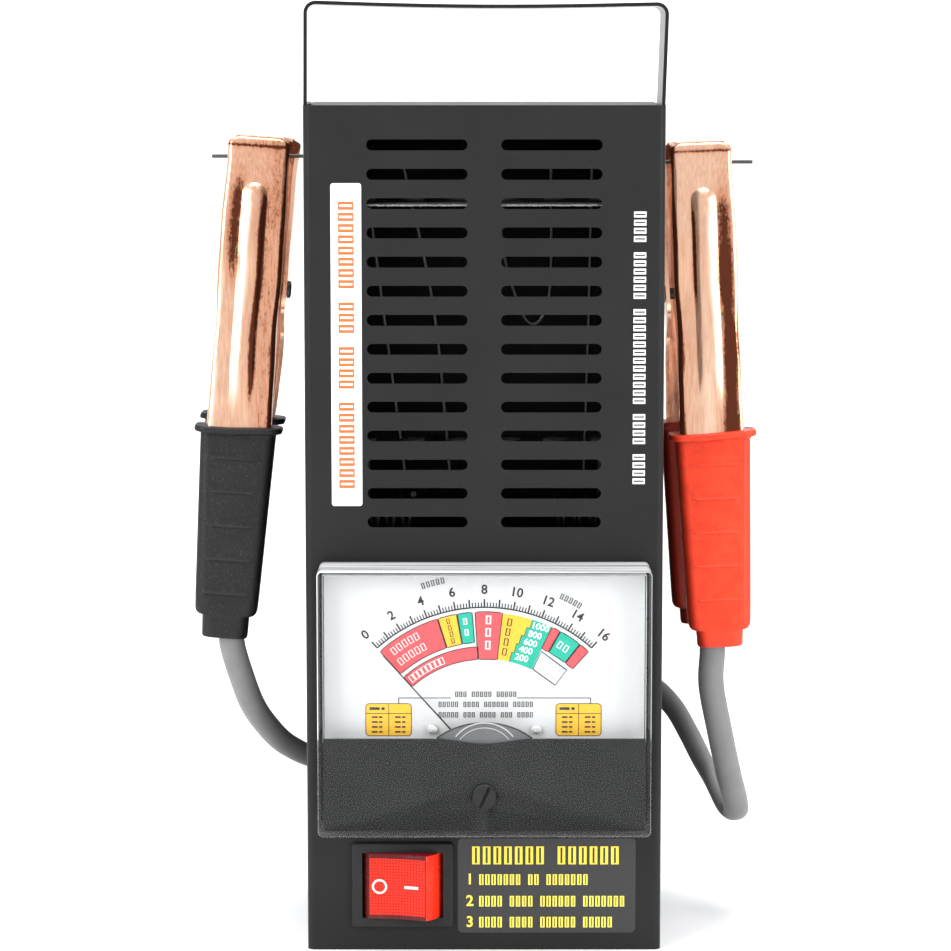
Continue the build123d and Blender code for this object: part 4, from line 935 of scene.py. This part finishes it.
def quarter_turn(first, last):
    """Section angle that goes from 0 to a quarter turn between two fractions of the path."""
    def angle(fraction):
        t = max(0.0, min(1.0, (fraction - first) / (last - first)))
        return math.pi / 2 * t * t * (3 - 2 * t)
    return angle


def build_leads():
    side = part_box("front_shell")[1].x / MM
    black_strand = [(-75.4, -18.0, 81.2), (-72.4, -12.5, 71.2), (-68.2, -6.5, 63.2), (-63.2, -0.5, 56.6)]
    red_strand = [(70.65, -20.0, 79.1), (73.6, -16.0, 64.2), (77.2, -9.0, 48.5), (79.9, -2.0, 38.4),
                  (80.4, 3.5, 33.4), (77.9, 8.5, 34.8), (73.77, 12.5, 41.5), (70.4, 15.5, 47.9),
                  (66.3, 19.0, 55.8), (61.8, 23.0, 63.2)]
    build_lead(Clamp("black", "black_clamp_open", 2.4), black_strand, -side, (4.0, 51.6), None)
    build_lead(Clamp("red", "red_clamp_open", -2.4), red_strand, side, (26.0, 69.0), quarter_turn(0.50, 0.72))


build_leads()


# ---------------------------------------------------------------- load wires seen through the slots
def build_load_wires():
    """Resistance wires strung loosely between the two load plates."""
    low, high = box_mm("load_wires")
    y = (low.y + high.y) / 2
    runs = [
        [(-37.0, 238), (-33.6, 211), (-24.5, 141.5)],
        [(-26.0, 241), (-24.6, 237), (-15.6, 194), (-10.5, 141.5)],
        [(3.5, 236), (6.5, 211), (12.0, 194), (15.5, 190.5), (18.8, 194), (20.8, 205), (20.8, 240)],
        [(33.5, 240), (32.6, 190), (31.2, 141.5)],
    ]
    bm = bmesh.new()
    for run in runs:
        points = smooth_curve([Vector((x, y, z)) for x, z in run], 10)
        add_oval_tube(bm, points, 1.5, 1.5, sides=14)
    made = finish_mesh("load_wires_visual", bm, materials["nichrome"], "case", 60)
    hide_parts("load_wires")


build_load_wires()


def build_plate_edges():
    """Sheared front edges of the load plates: bright, slightly ragged metal."""
    draw = random.Random(5)
    for node, material in (("upper_load_plate", sheared_edge), ("lower_load_plate", materials["nichrome"])):
        low, high = box_mm(node)
        count = 150
        top, bottom = [], []
        for step in range(count + 1):
            x = low.x + (high.x - low.x) * step / count
            top.append((x, high.z - 0.66 + 0.14 * draw.random()))
            bottom.append((x, high.z - 0.98 - 0.2 * draw.random()))
        rows = [[(x, y, z) for x, z in line] for line, y in ((top, low.y + 0.02), (top, low.y - 0.16), (bottom, low.y - 0.16),
                                                             (bottom, low.y + 0.02))]
        bm = bmesh.new()
        add_grid(bm, rows, close_rows=True)
        bmesh.ops.recalc_face_normals(bm, faces=bm.faces)
        finish_mesh(f"{node}_edge", bm, material, "case", 40)


build_plate_edges()


# ---------------------------------------------------------------- handle
def build_handle():
    """Flat steel strap bent into a loop: feet down in the case, legs flush with its sides and splaying to the top."""
    low, high = box_mm("handle_strap")
    case_low, case_high = box_mm("front_shell")
    thick, bend, sag, steps = 1.1, 3.6, 0.9, 8
    outer = []
    for sign, splay, rise in ((-1, -0.35, 0.05), (1, 0.75, -0.45)):
        leg = [(sign * high.x, low.z), (sign * (case_high.x - 0.15), case_high.z)]
        side = case_high.x + splay
        for step in range(steps + 1):
            angle = math.radians(90 * step / steps)
            leg.append((sign * (side - bend + bend * math.cos(angle)), high.z + rise - bend + bend * math.sin(angle)))
        outer += leg if sign < 0 else list(reversed(leg))
        if sign < 0:
            for step in range(1, 12):
                t = step / 12
                bow = sag * math.sin(math.pi * t)
                outer.append((leg[-1][0] * (1 - 2 * t), high.z + 0.05 - 0.5 * t - bow))
    rows = []
    for i, point in enumerate(outer):
        before, after = outer[max(0, i - 1)], outer[min(len(outer) - 1, i + 1)]
        tangent = (Vector(after) - Vector(before)).normalized()
        inner = Vector(point) + Vector((tangent.y, -tangent.x)) * thick
        rows.append([(point[0], low.y, point[1]), (inner.x, low.y, inner.y), (inner.x, high.y, inner.y),
                     (point[0], high.y, point[1])])
    bm = bmesh.new()
    grid = add_grid(bm, rows, close_columns=True)
    bm.faces.new(grid[0])
    bm.faces.new(grid[-1])
    bmesh.ops.recalc_face_normals(bm, faces=bm.faces)
    made = finish_mesh("handle_strap_visual", bm, materials["handle_paint"], "case", 35)
    add_modifier(made, "BEVEL", width=0.12 * MM, segments=2, limit_method="ANGLE", angle_limit=math.radians(50))
    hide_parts("handle_strap")


build_handle()


# ---------------------------------------------------------------- dial print
dial_low, dial_high = box_mm("dial_plate")
pointer_joint = joints["pointer_swing"]
PIVOT = Vector(pointer_joint["pos_m"]) / MM
DIAL_FACE = dial_low.y
INK = 0.04
SWEEP, VOLTS = 42.0, 16
SCALE_RADIUS = 48.1


def polar(radius, angle):
    """Point of the dial at a radius from the pointer's pivot, angle in degrees clockwise from straight up."""
    turn = math.radians(angle)
    return PIVOT.x + radius * math.sin(turn), PIVOT.z + radius * math.cos(turn)


def sector(r0, r1, a0, a1, step=1.0):
    """Outline of a band between two radii and two angles."""
    count = max(2, int(abs(a1 - a0) / step))
    angles = [a0 + (a1 - a0) * k / count for k in range(count + 1)]
    return [polar(r1, a) for a in angles] + [polar(r0, a) for a in reversed(angles)]


def build_print(name, shapes, colour, level=0):
    """Flat printed shapes on the dial, each a closed outline; higher levels lie over lower ones."""
    bm = bmesh.new()
    far = DIAL_FACE - 0.005 - INK * level
    for outline in shapes:
        add_prism(bm, outline, far - INK * 0.9, far)
    bmesh.ops.recalc_face_normals(bm, faces=bm.faces)
    return finish_mesh(name, bm, inks[colour], "case")


def radial_edge(r0, r1, angle, width=0.22):
    """A thin radial line between two radii."""
    along = Vector(polar(r1, angle)) - Vector(polar(r0, angle))
    normal = Vector((-along.y, along.x)).normalized() * width / 2
    a, b = Vector(polar(r0, angle)), Vector(polar(r1, angle))
    return [tuple(a - normal), tuple(a + normal), tuple(b + normal), tuple(b - normal)]


BAND_IN, BAND_OUT = 37.6, 46.6
CHARGE_IN = 39.6
LOW_IN, LOW_OUT = 32.4, 36.0
STAIR = [(BAND_OUT, 18.1), (43.9, 16.9), (41.1, 15.7), (38.3, 14.6), (35.4, 13.4)]


def stair_outline(reverse=False):
    """Stepped edge between the yellow and the green bands, from the outside in."""
    points = []
    for index, (radius, angle) in enumerate(STAIR):
        inner = STAIR[index + 1][0] if index + 1 < len(STAIR) else LOW_IN
        points.append(polar(radius, angle))
        points.append(polar(inner, angle))
    return list(reversed(points)) if reverse else points


def arc_points(radius, a0, a1):
    count = max(2, int(abs(a1 - a0)))
    return [polar(radius, a0 + (a1 - a0) * k / count) for k in range(count + 1)]


def build_dial():
    outer_red = sector(BAND_IN, BAND_OUT, -42.0, -17.5)
    yellow = sector(BAND_IN, BAND_OUT, -17.5, -10.2)
    green = sector(BAND_IN, BAND_OUT, -10.2, -4.7)
    lower_red = sector(LOW_IN, LOW_OUT, -42.0, -3.25)
    red_block = sector(LOW_IN, BAND_OUT, -3.25, 6.6)
    yellow_stair = arc_points(BAND_OUT, 6.6, 18.1) + stair_outline()[1:] + list(reversed(arc_points(LOW_IN, 6.6, 13.4)))
    green_stair = arc_points(BAND_OUT, 18.1, 26.0) + list(reversed(arc_points(LOW_IN, 13.4, 26.0))) \
        + stair_outline(True)
    narrow_red = sector(CHARGE_IN, BAND_OUT, 26.0, 29.3)
    green_right = sector(CHARGE_IN, BAND_OUT, 29.3, 38.0)
    red_right = sector(CHARGE_IN, BAND_OUT, 38.0, 42.0)
    build_print("dial_red", [outer_red, lower_red, red_block, narrow_red, red_right], "red")
    build_print("dial_yellow", [yellow, yellow_stair], "yellow")
    build_print("dial_green", [green, green_stair, green_right], "green")
    build_dial_lines()
    build_dial_numbers()
    build_dial_tables()
    build_dial_words()


def line_ring(bm, outline, width, level):
    far = DIAL_FACE - 0.005 - INK * level
    add_frame_line(bm, outline, width, far - INK * 0.9, far)


def build_dial_lines():
    shapes = [sector(SCALE_RADIUS - 0.19, SCALE_RADIUS + 0.19, -SWEEP, SWEEP)]
    for tick in range(VOLTS * 5 + 1):
        angle = -SWEEP + 2 * SWEEP * tick / (VOLTS * 5)
        whole = tick % 5 == 0
        shapes.append(radial_edge(SCALE_RADIUS, SCALE_RADIUS + (2.5 if whole else 1.5), angle, 0.46 if whole else 0.30))
    outlines = [sector(BAND_IN, BAND_OUT, -42.0, -17.5), sector(BAND_IN, BAND_OUT, -17.5, -10.2),
                sector(BAND_IN, BAND_OUT, -10.2, -4.7), sector(LOW_IN, LOW_OUT, -42.0, -3.25),
                sector(LOW_IN, BAND_OUT, -3.25, 6.6), sector(CHARGE_IN, BAND_OUT, 26.0, 29.3),
                sector(CHARGE_IN, BAND_OUT, 38.0, 42.0), sector(CHARGE_IN, BAND_OUT, 29.3, 38.0)]
    build_print("dial_scale", shapes, "black", 1)
    bm = bmesh.new()
    for outline in outlines:
        line_ring(bm, outline, 0.27, 1)
    for index, (radius, angle) in enumerate(STAIR):
        inner = STAIR[index + 1][0] if index + 1 < len(STAIR) else LOW_IN
        far = DIAL_FACE - 0.005 - INK
        add_prism(bm, radial_edge(inner, radius, angle, 0.18), far - INK * 0.9, far)
        if index + 1 < len(STAIR):
            add_prism(bm, sector(inner - 0.09, inner + 0.09, STAIR[index + 1][1], angle, 0.4), far - INK * 0.9, far)
    bmesh.ops.recalc_face_normals(bm, faces=bm.faces)
    finish_mesh("dial_outlines", bm, inks["black"], "case")
    box = [(17.2, 34.8), (24.9, 29.1), (21.3, 24.2), (14.4, 29.2)]
    corners = [(PIVOT.x + x, PIVOT.z + z) for x, z in box]
    build_print("dial_window", [corners], "white", 2)
    bm = bmesh.new()
    line_ring(bm, corners, -0.42, 3)
    bmesh.ops.recalc_face_normals(bm, faces=bm.faces)
    finish_mesh("dial_window_line", bm, inks["black"], "case")


def build_dial_numbers():
    bm = bmesh.new()
    for volt in range(0, VOLTS + 1, 2):
        angle = -SWEEP + 2 * SWEEP * volt / VOLTS
        x, z = polar(SCALE_RADIUS + 5.3, angle)
        add_text(bm, str(volt), x, z, 3.9, DIAL_FACE - 0.03, turn=angle * 0.9)
    finish_mesh("dial_numbers", bm, inks["black"], "case", 30, 1e-6)


def bar_row(cx, cz, total, height, pieces, gap=1.0):
    """A row of plain bars in place of a printed line of words."""
    weights = [pieces[k % len(pieces)] for k in range(len(pieces))]
    unit = (total - gap * (len(weights) - 1)) / sum(weights)
    x = cx - total / 2
    bars = []
    for weight in weights:
        width = weight * unit
        bars.append(rounded_rectangle(x, cz - height / 2, x + width, cz + height / 2, height * 0.3, 3))
        x += width + gap
    return bars


def build_dial_tables():
    text = []
    rules = []
    for x0, x1, drop in ((-25.8, -10.1, -25.8), (9.8, 32.0, 32.0)):
        rules.append(rectangle(x0, 81.15, x1, 81.35))
        rules.append(rectangle(drop - 0.1, 79.6, drop + 0.1, 81.3))
    tables = []
    lines = []
    bm = bmesh.new()
    for x0, x1, middle in ((-35.8, -21.9, -28.8), (21.5, 35.3, 28.4)):
        outline = rounded_rectangle(x0, 69.6, x1, 79.6, 1.2)
        tables.append(outline)
        line_ring(bm, outline, 0.18, 2)
        lines.append(rectangle(middle - 0.08, 69.7, middle + 0.08, 79.5))
        lines.append(rectangle(x0 + 0.1, 76.42, x1 - 0.1, 76.58))
        text += bar_row((x0 + middle) / 2, 78.0, 4.6, 0.8, (3, 1), 0.5)
        for column in ((x0 + middle) / 2, (middle + x1) / 2):
            for row in range(4):
                text += bar_row(column, 75.4 - 1.5 * row, 3.2, 0.5, (1, 0.6), 0.4)
    bmesh.ops.recalc_face_normals(bm, faces=bm.faces)
    finish_mesh("dial_table_frames", bm, inks["black"], "case")
    build_print("dial_tables", tables, "yellow", 0)
    build_print("dial_table_rules", lines + rules, "black", 2)
    build_print("dial_table_bars", text, "table_print", 3)


def build_dial_words():
    """Open boxes where the dial has words, and the round cranking values down the stepped edge."""
    near = DIAL_FACE - 0.005 - 3 * INK
    grey = bmesh.new()
    for z, words in ((82.4, (3, 5, 5)), (79.3, (5, 4, 6, 5)), (76.1, (5, 3, 4, 3, 4))):
        add_glyphs(grey, words, (0.4, z), (0.85, 1.6), 0.4, 0.22, near)
    for angle, radius in ((-15.6, 57.6), (27.4, 56.4)):
        for letter in range(5):
            turn = angle + (letter - 2) * 1.5
            add_glyphs(grey, (1,), polar(radius, turn), (0.95, 1.8), 0, 0.24, near, -turn)
    bmesh.ops.recalc_face_normals(grey, faces=grey.faces)
    finish_mesh("dial_words_grey", grey, inks["table_print"], "case")
    white = bmesh.new()
    for radius, first, last, count in ((44.2, -38.0, -27.5, 5), (40.4, -38.5, -27.0, 5), (34.2, -39.5, -22.0, 8)):
        for letter in range(count):
            turn = first + (last - first) * letter / (count - 1)
            add_glyphs(white, (1,), polar(radius, turn), (1.35, 2.2), 0, 0.2, near, -turn)
    for radius, angle, size in ((44.2, -7.5, 1.9), (40.8, -7.5, 1.9), (44.3, 1.6, 2.6), (40.5, 1.6, 2.6),
                                (36.6, 1.6, 2.6)):
        add_glyphs(white, (1,), polar(radius, angle), (size * 0.62, size), 0, size * 0.16, near, -angle)
    for turn in (31.8, 34.6):
        add_glyphs(white, (1,), polar(43.1, turn), (1.4, 2.2), 0, 0.28, near, -33.2)
    for text, radius, angle in (("1000", 45.2, 21.8), ("800", 42.4, 21.0), ("600", 39.7, 20.4), ("400", 37.1, 19.6),
                                ("200", 34.5, 18.9)):
        x, z = polar(radius, angle)
        add_text(white, text, x, z, 2.75, near + 0.02, turn=15.0)
    bmesh.ops.recalc_face_normals(white, faces=white.faces)
    finish_mesh("dial_words_white", white, inks["white"], "case", 30)
    dark = bmesh.new()
    for letter in range(4):
        add_glyphs(dark, (1,), polar(45.2 - 2.05 * letter, -13.9), (1.0, 1.55), 0, 0.2, near, 13.9)
        add_glyphs(dark, (1,), polar(44.2 - 3.05 * letter, 9.9), (1.4, 2.2), 0, 0.28, near, -9.9)
    add_glyphs(dark, (6,), (PIVOT.x + 20.6, PIVOT.z + 30.7), (0.8, 1.5), 0.45, 0.13, near - INK, -36)
    add_glyphs(dark, (5,), (PIVOT.x + 18.6, PIVOT.z + 27.8), (0.8, 1.5), 0.45, 0.13, near - INK, -36)
    bmesh.ops.recalc_face_normals(dark, faces=dark.faces)
    finish_mesh("dial_words_dark", dark, inks["black"], "case")


build_dial()


# ---------------------------------------------------------------- mask, movement cover and needle
def build_mask():
    """Black lower mask behind the cover: its top edge dips in the middle, and the zero screw comes through it."""
    low, high = box_mm("meter_mask")
    screw = Vector(joints["zero_turn"]["pos_m"]) / MM
    hole, steps, dip, dip_half = 3.95, 180, 1.6, 16.5
    inner, outer = [], []
    for step in range(steps):
        angle = math.tau * step / steps
        across, up = math.cos(angle), math.sin(angle)
        reach_x = ((high.x if across > 0 else -low.x) / abs(across)) if abs(across) > 1e-6 else 1e6
        reach_z = (((high.z - screw.z) if up > 0 else (screw.z - low.z)) / abs(up)) if abs(up) > 1e-6 else 1e6
        reach = min(reach_x, reach_z)
        x, z = reach * across, screw.z + reach * up
        if up > 0 and reach == reach_z and abs(x) < dip_half:
            z -= dip * 0.5 * (1 + math.cos(math.pi * x / dip_half))
        inner.append((hole * across, screw.z + hole * up))
        outer.append((x, z))
    for corner in ((low.x, low.z), (high.x, low.z), (high.x, high.z), (low.x, high.z)):
        nearest = min(range(steps), key=lambda i: math.dist(outer[i], corner))
        outer[nearest] = corner
    rows = [[(x, y, z) for x, z in line] for line, y in ((inner, high.y), (inner, low.y), (outer, low.y), (outer, high.y))]
    bm = bmesh.new()
    add_grid(bm, rows, close_rows=True, close_columns=True)
    bmesh.ops.recalc_face_normals(bm, faces=bm.faces)
    made = finish_mesh("meter_mask_visual", bm, materials["black_plastic"], "case", 30)
    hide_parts("meter_mask")


def build_movement_cover():
    """Grey cover of the movement that shows above the mask: a wide low hump, with two pale arcs on its middle that are
    painted highlights of a round dome.
    """
    y = box_mm("movement_shield")[0].y + 0.02
    mask_top = box_mm("meter_mask")[1].z
    hump_r, hump_half, rise, foot = 24.6, 14.4, 4.9, 5.0
    centre_z = mask_top + rise - hump_r
    outline = []
    for step in range(25):
        x = hump_half - 2 * hump_half * step / 24
        outline.append((x, centre_z + math.sqrt(hump_r ** 2 - x * x)))
    outline += [(-hump_half, mask_top - foot), (hump_half, mask_top - foot)]
    bm = bmesh.new()
    add_prism(bm, outline, y + 0.3, y + 0.9)
    bmesh.ops.recalc_face_normals(bm, faces=bm.faces)
    made = finish_mesh("movement_shield_visual", bm, hump_grey, "case", 35)
    add_modifier(made, "BEVEL", width=0.25 * MM, segments=2, limit_method="ANGLE", angle_limit=math.radians(40))
    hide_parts("movement_shield")
    # pale arcs: painted highlights on the edge of a round dome
    dome_r = 11.1
    dome_z = mask_top + rise - dome_r
    bm = bmesh.new()
    for radius, width in ((dome_r, 0.35), (dome_r - 1.6, 0.2)):
        arc = []
        for r in (radius, radius - width):
            arc.append([(r * math.sin(math.radians(a)), r * math.cos(math.radians(a))) for a in range(-52, 53, 4)])
        outline = arc[0] + list(reversed(arc[1]))
        add_prism(bm, [(x, dome_z + z) for x, z in outline], y + 0.05, y + 0.32)
    bmesh.ops.recalc_face_normals(bm, faces=bm.faces)
    finish_mesh("movement_shield_rings", bm, materials["grey_plastic"], "case", 35)
    rim = bmesh.new()
    edge = [(x, z) for x, z in [(hump_half - 2 * hump_half * s / 24, 0) for s in range(25)]]
    upper = [(x, centre_z + math.sqrt(hump_r ** 2 - x * x)) for x, z in edge]
    lower = [(x * 0.985, z - 0.35) for x, z in upper]
    add_prism(rim, upper + list(reversed(lower)), y + 0.22, y + 0.3)
    bmesh.ops.recalc_face_normals(rim, faces=rim.faces)
    finish_mesh("movement_shield_rim", rim, inks["black"], "case", 35)


def build_pointer():
    """Fine tapered needle with a short tail behind its pivot."""
    low, high = box_mm("pointer")
    reach = math.hypot(low.x - PIVOT.x, high.z - PIVOT.z) - 0.4
    tail = math.hypot(high.x - PIVOT.x, low.z - PIVOT.z)
    out = Vector(polar(1.0, -SWEEP)) - Vector((PIVOT.x, PIVOT.z))
    side = Vector((-out.y, out.x))
    base = Vector((PIVOT.x, PIVOT.z))
    stations = ((-tail, 0.9), (-2.0, 0.8), (4.0, 0.5), (12.0, 0.26), (reach, 0.13))
    outline = [base + out * r + side * w for r, w in stations] + [base + out * r - side * w for r, w in reversed(stations)]
    bm = bmesh.new()
    add_prism(bm, [tuple(point) for point in outline], low.y, high.y)
    bmesh.ops.recalc_face_normals(bm, faces=bm.faces)
    made = finish_mesh("pointer_visual", bm, inks["black"], "movement", 35)
    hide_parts("pointer")


build_mask()
build_movement_cover()
build_pointer()


# ---------------------------------------------------------------- labels and case print
def build_boxes(name, lines, material, y, thickness=0.05):
    """Lines of open boxes as one piece of print: each line is (words, centre, glyph, gap, stroke, turn)."""
    bm = bmesh.new()
    for words, centre, glyph, gap, stroke, turn in lines:
        add_glyphs(bm, words, centre, glyph, gap, stroke, y - thickness, turn, thickness)
    bmesh.ops.recalc_face_normals(bm, faces=bm.faces)
    return finish_mesh(name, bm, material, "case")


def build_labels():
    low, high = box_mm("rating_label")
    middle = (low + high) / 2
    build_boxes("rating_label_marks", [((8, 4, 3, 8), (middle.x, middle.z), (2.5, 4.7), 0.86, 0.78, 90)],
                inks["orange"], low.y - 0.005)
    build_boxes("side_print_marks", [((4, 4, 12, 6, 4), (46.7, 185.7), (1.75, 3.7), 0.69, 0.55, 90)],
                inks["white"], cad_front - 0.005)
    y = box_mm("instruction_label")[0].y - 0.005
    build_boxes("instruction_title", [((7, 6), (18.8, 29.7), (2.35, 5.6), 0.93, 0.72, 0)], inks["title_yellow"], y)
    lines = []
    for words, z in (((7, 2, 7), 22.1), ((4, 4, 6, 7), 15.3), ((4, 4, 6, 5), 8.7)):
        count = sum(words) + len(words) - 1
        lines.append((words, (-1.8 + count * 1.88 / 2, z), (1.33, 3.3), 0.55, 0.42, 0))
    build_boxes("instruction_marks", lines, inks["pale_yellow"], y)
    bm = bmesh.new()
    for number, z in ((1, 22.1), (2, 15.3), (3, 8.7)):
        add_text(bm, str(number), -4.4, z, 4.7, y - 0.02, 0.05)
    finish_mesh("instruction_numbers", bm, inks["pale_yellow"], "case", 30, 1e-6)
    nodes["instruction_label"].data.materials[0] = inks["plate"]


cad_front = box_mm("front_shell")[0].y
build_labels()


# ---------------------------------------------------------------- rocker switch marks
def build_rocker_face():
    """Bright dotted lens on the rocker's front, with its O and bar marks; all of it turns with the rocker."""
    joint = joints["rocker_tilt"]
    pivot = Vector(joint["pos_m"]) / MM
    tilt = math.radians(-11.0)
    radius, corner = 12.3, math.radians(44.0)
    corner_x = radius * math.cos(corner)
    corner_y = -radius * math.sin(corner)
    sag = 0.9
    curve = (corner_x ** 2 + sag ** 2) / (2 * sag)
    low, high = box_mm("rocker")
    middle_z = (low.z + high.z) / 2
    along = Vector((math.cos(tilt), math.sin(tilt), 0))
    out = Vector((math.sin(tilt), -math.cos(tilt), 0))

    def face_point(x, z, lift):
        """Point on the rocker's hollow front face, lifted off it towards the viewer."""
        depth = corner_y + sag - (curve - math.sqrt(curve ** 2 - x * x))
        return pivot + along * x + out * (-depth + lift) + Vector((0, 0, middle_z + z - pivot.z))

    def sheet(bm, spots, lift):
        front = [bm.verts.new(face_point(x, z, lift)) for x, z in spots]
        return front

    bm = bmesh.new()
    rows = []
    left_x, right_x, half_z = -corner_x + 0.15, corner_x - 0.12, 8.8
    for i in range(17):
        z = -half_z + 2 * half_z * i / 16
        rows.append([face_point(left_x + (right_x - left_x) * k / 24, z, 0.05) for k in range(25)])
    add_grid(bm, rows)
    bmesh.ops.recalc_face_normals(bm, faces=bm.faces)
    lens = finish_mesh("rocker_lens", bm, red_lens, "rocker", 60)
    add_modifier(lens, "SOLIDIFY", thickness=0.1 * MM, offset=0.0)
    bm = bmesh.new()
    ring_x, ring_out, ring_in = -5.6, 2.3, 1.7
    rings = []
    for r in (ring_in, ring_out):
        rings.append([face_point(ring_x + r * math.cos(a * math.tau / 48), r * math.sin(a * math.tau / 48), 0.13)
                      for a in range(48)])
    add_grid(bm, rings, close_columns=True)
    bar_half, bar_high, bar_x = 2.2, 0.42, 4.3
    rows = [[face_point(bar_x - bar_half + 2 * bar_half * k / 8, z, 0.13) for k in range(9)]
            for z in (-bar_high, bar_high)]
    add_grid(bm, rows)
    marks = finish_mesh("rocker_marks", bm, inks["white"], "rocker", 60)
    add_modifier(marks, "SOLIDIFY", thickness=0.06 * MM, offset=0.0)


build_rocker_face()

for name in ("switch_frame", "zero_screw", "meter_base", "back_panel", "upper_load_plate",
             "lower_load_plate", "rocker"):
    soften(name)

# ---------------------------------------------------------------- floor, light and camera
def area_light(name, location, target, size, power, colour=(1, 1, 1)):
    lamp = bpy.data.lights.new(name, "AREA")
    lamp.shape = "RECTANGLE"
    lamp.size, lamp.size_y = size
    lamp.energy = power
    lamp.color = colour
    made = bpy.data.objects.new(name, lamp)
    bpy.context.scene.collection.objects.link(made)
    made.location = location
    made.rotation_euler = (Vector(target) - Vector(location)).to_track_quat("-Z", "Y").to_euler()
    return made


def build_stage():
    """Pale floor that curves up behind the object, soft studio lights and a near-white world."""
    floor_material = Paint("studio_floor")
    floor_material.colour(floor_material.mix(floor_material.noise(3.0), (0.90, 0.90, 0.90), (0.92, 0.92, 0.92)))
    floor_material.set(Roughness=0.7)
    # the curved-up part is seen through from behind, so it never hides the object
    from_behind = floor_material.node("ShaderNodeNewGeometry").outputs["Backfacing"]
    unseen = floor_material.node("ShaderNodeMixShader")
    floor_material.link(from_behind, unseen.inputs[0])
    floor_material.link(floor_material.shader.outputs[0], unseen.inputs[1])
    floor_material.link(floor_material.node("ShaderNodeBsdfTransparent").outputs[0], unseen.inputs[2])
    floor_material.link(unseen.outputs[0], floor_material.output.inputs["Surface"])
    bm = bmesh.new()
    profile = [(-2.5, 0.0), (0.5, 0.0)]
    for step in range(1, 13):
        angle = math.radians(90 * step / 12)
        profile.append((0.5 + 0.7 * math.sin(angle), 0.7 * (1 - math.cos(angle))))
    profile.append((1.2, 3.0))
    rows = [[(x, y, z) for x in (-3.0, 3.0)] for y, z in profile]
    add_grid(bm, rows)
    flat_part = min(bm.faces, key=lambda face: face.calc_center_median().z)
    flat_part.normal_update()
    if flat_part.normal.z < 0:
        bmesh.ops.reverse_faces(bm, faces=bm.faces)
    for face in bm.faces:
        face.smooth = True
    mesh = bpy.data.meshes.new("studio_floor")
    bm.to_mesh(mesh)
    bm.free()
    floor = bpy.data.objects.new("studio_floor", mesh)
    floor.data.materials.append(floor_material.material)
    bpy.context.scene.collection.objects.link(floor)
    world = bpy.data.worlds.new("studio")
    world.use_nodes = True
    world.node_tree.nodes["Background"].inputs["Color"].default_value = (0.95, 0.97, 1.0, 1)
    world.node_tree.nodes["Background"].inputs["Strength"].default_value = 0.80
    bpy.context.scene.world = world
    bpy.context.scene.view_settings.view_transform = "Standard"
    middle = (0.0, 0.0, 0.15)
    area_light("key_left", (-0.95, -0.85, 0.75), middle, (0.7, 0.9), 17)
    area_light("fill_right", (1.0, -0.75, 0.55), middle, (0.6, 0.9), 11)
    area_light("top", (0.0, -0.1, 1.3), middle, (0.9, 0.7), 14)
    camera_data = bpy.data.cameras.new("camera")
    camera_data.lens = 125.63
    camera_data.sensor_width = 36.0
    camera_data.clip_end = 20.0
    camera = bpy.data.objects.new("camera", camera_data)
    bpy.context.scene.collection.objects.link(camera)
    camera.location = (-0.003385, -1.035808, 0.273255)
    camera.rotation_euler = (math.radians(90 - 7.216), 0, math.radians(-0.042))
    bpy.context.scene.camera = camera


build_stage()
bpy.context.view_layer.update()
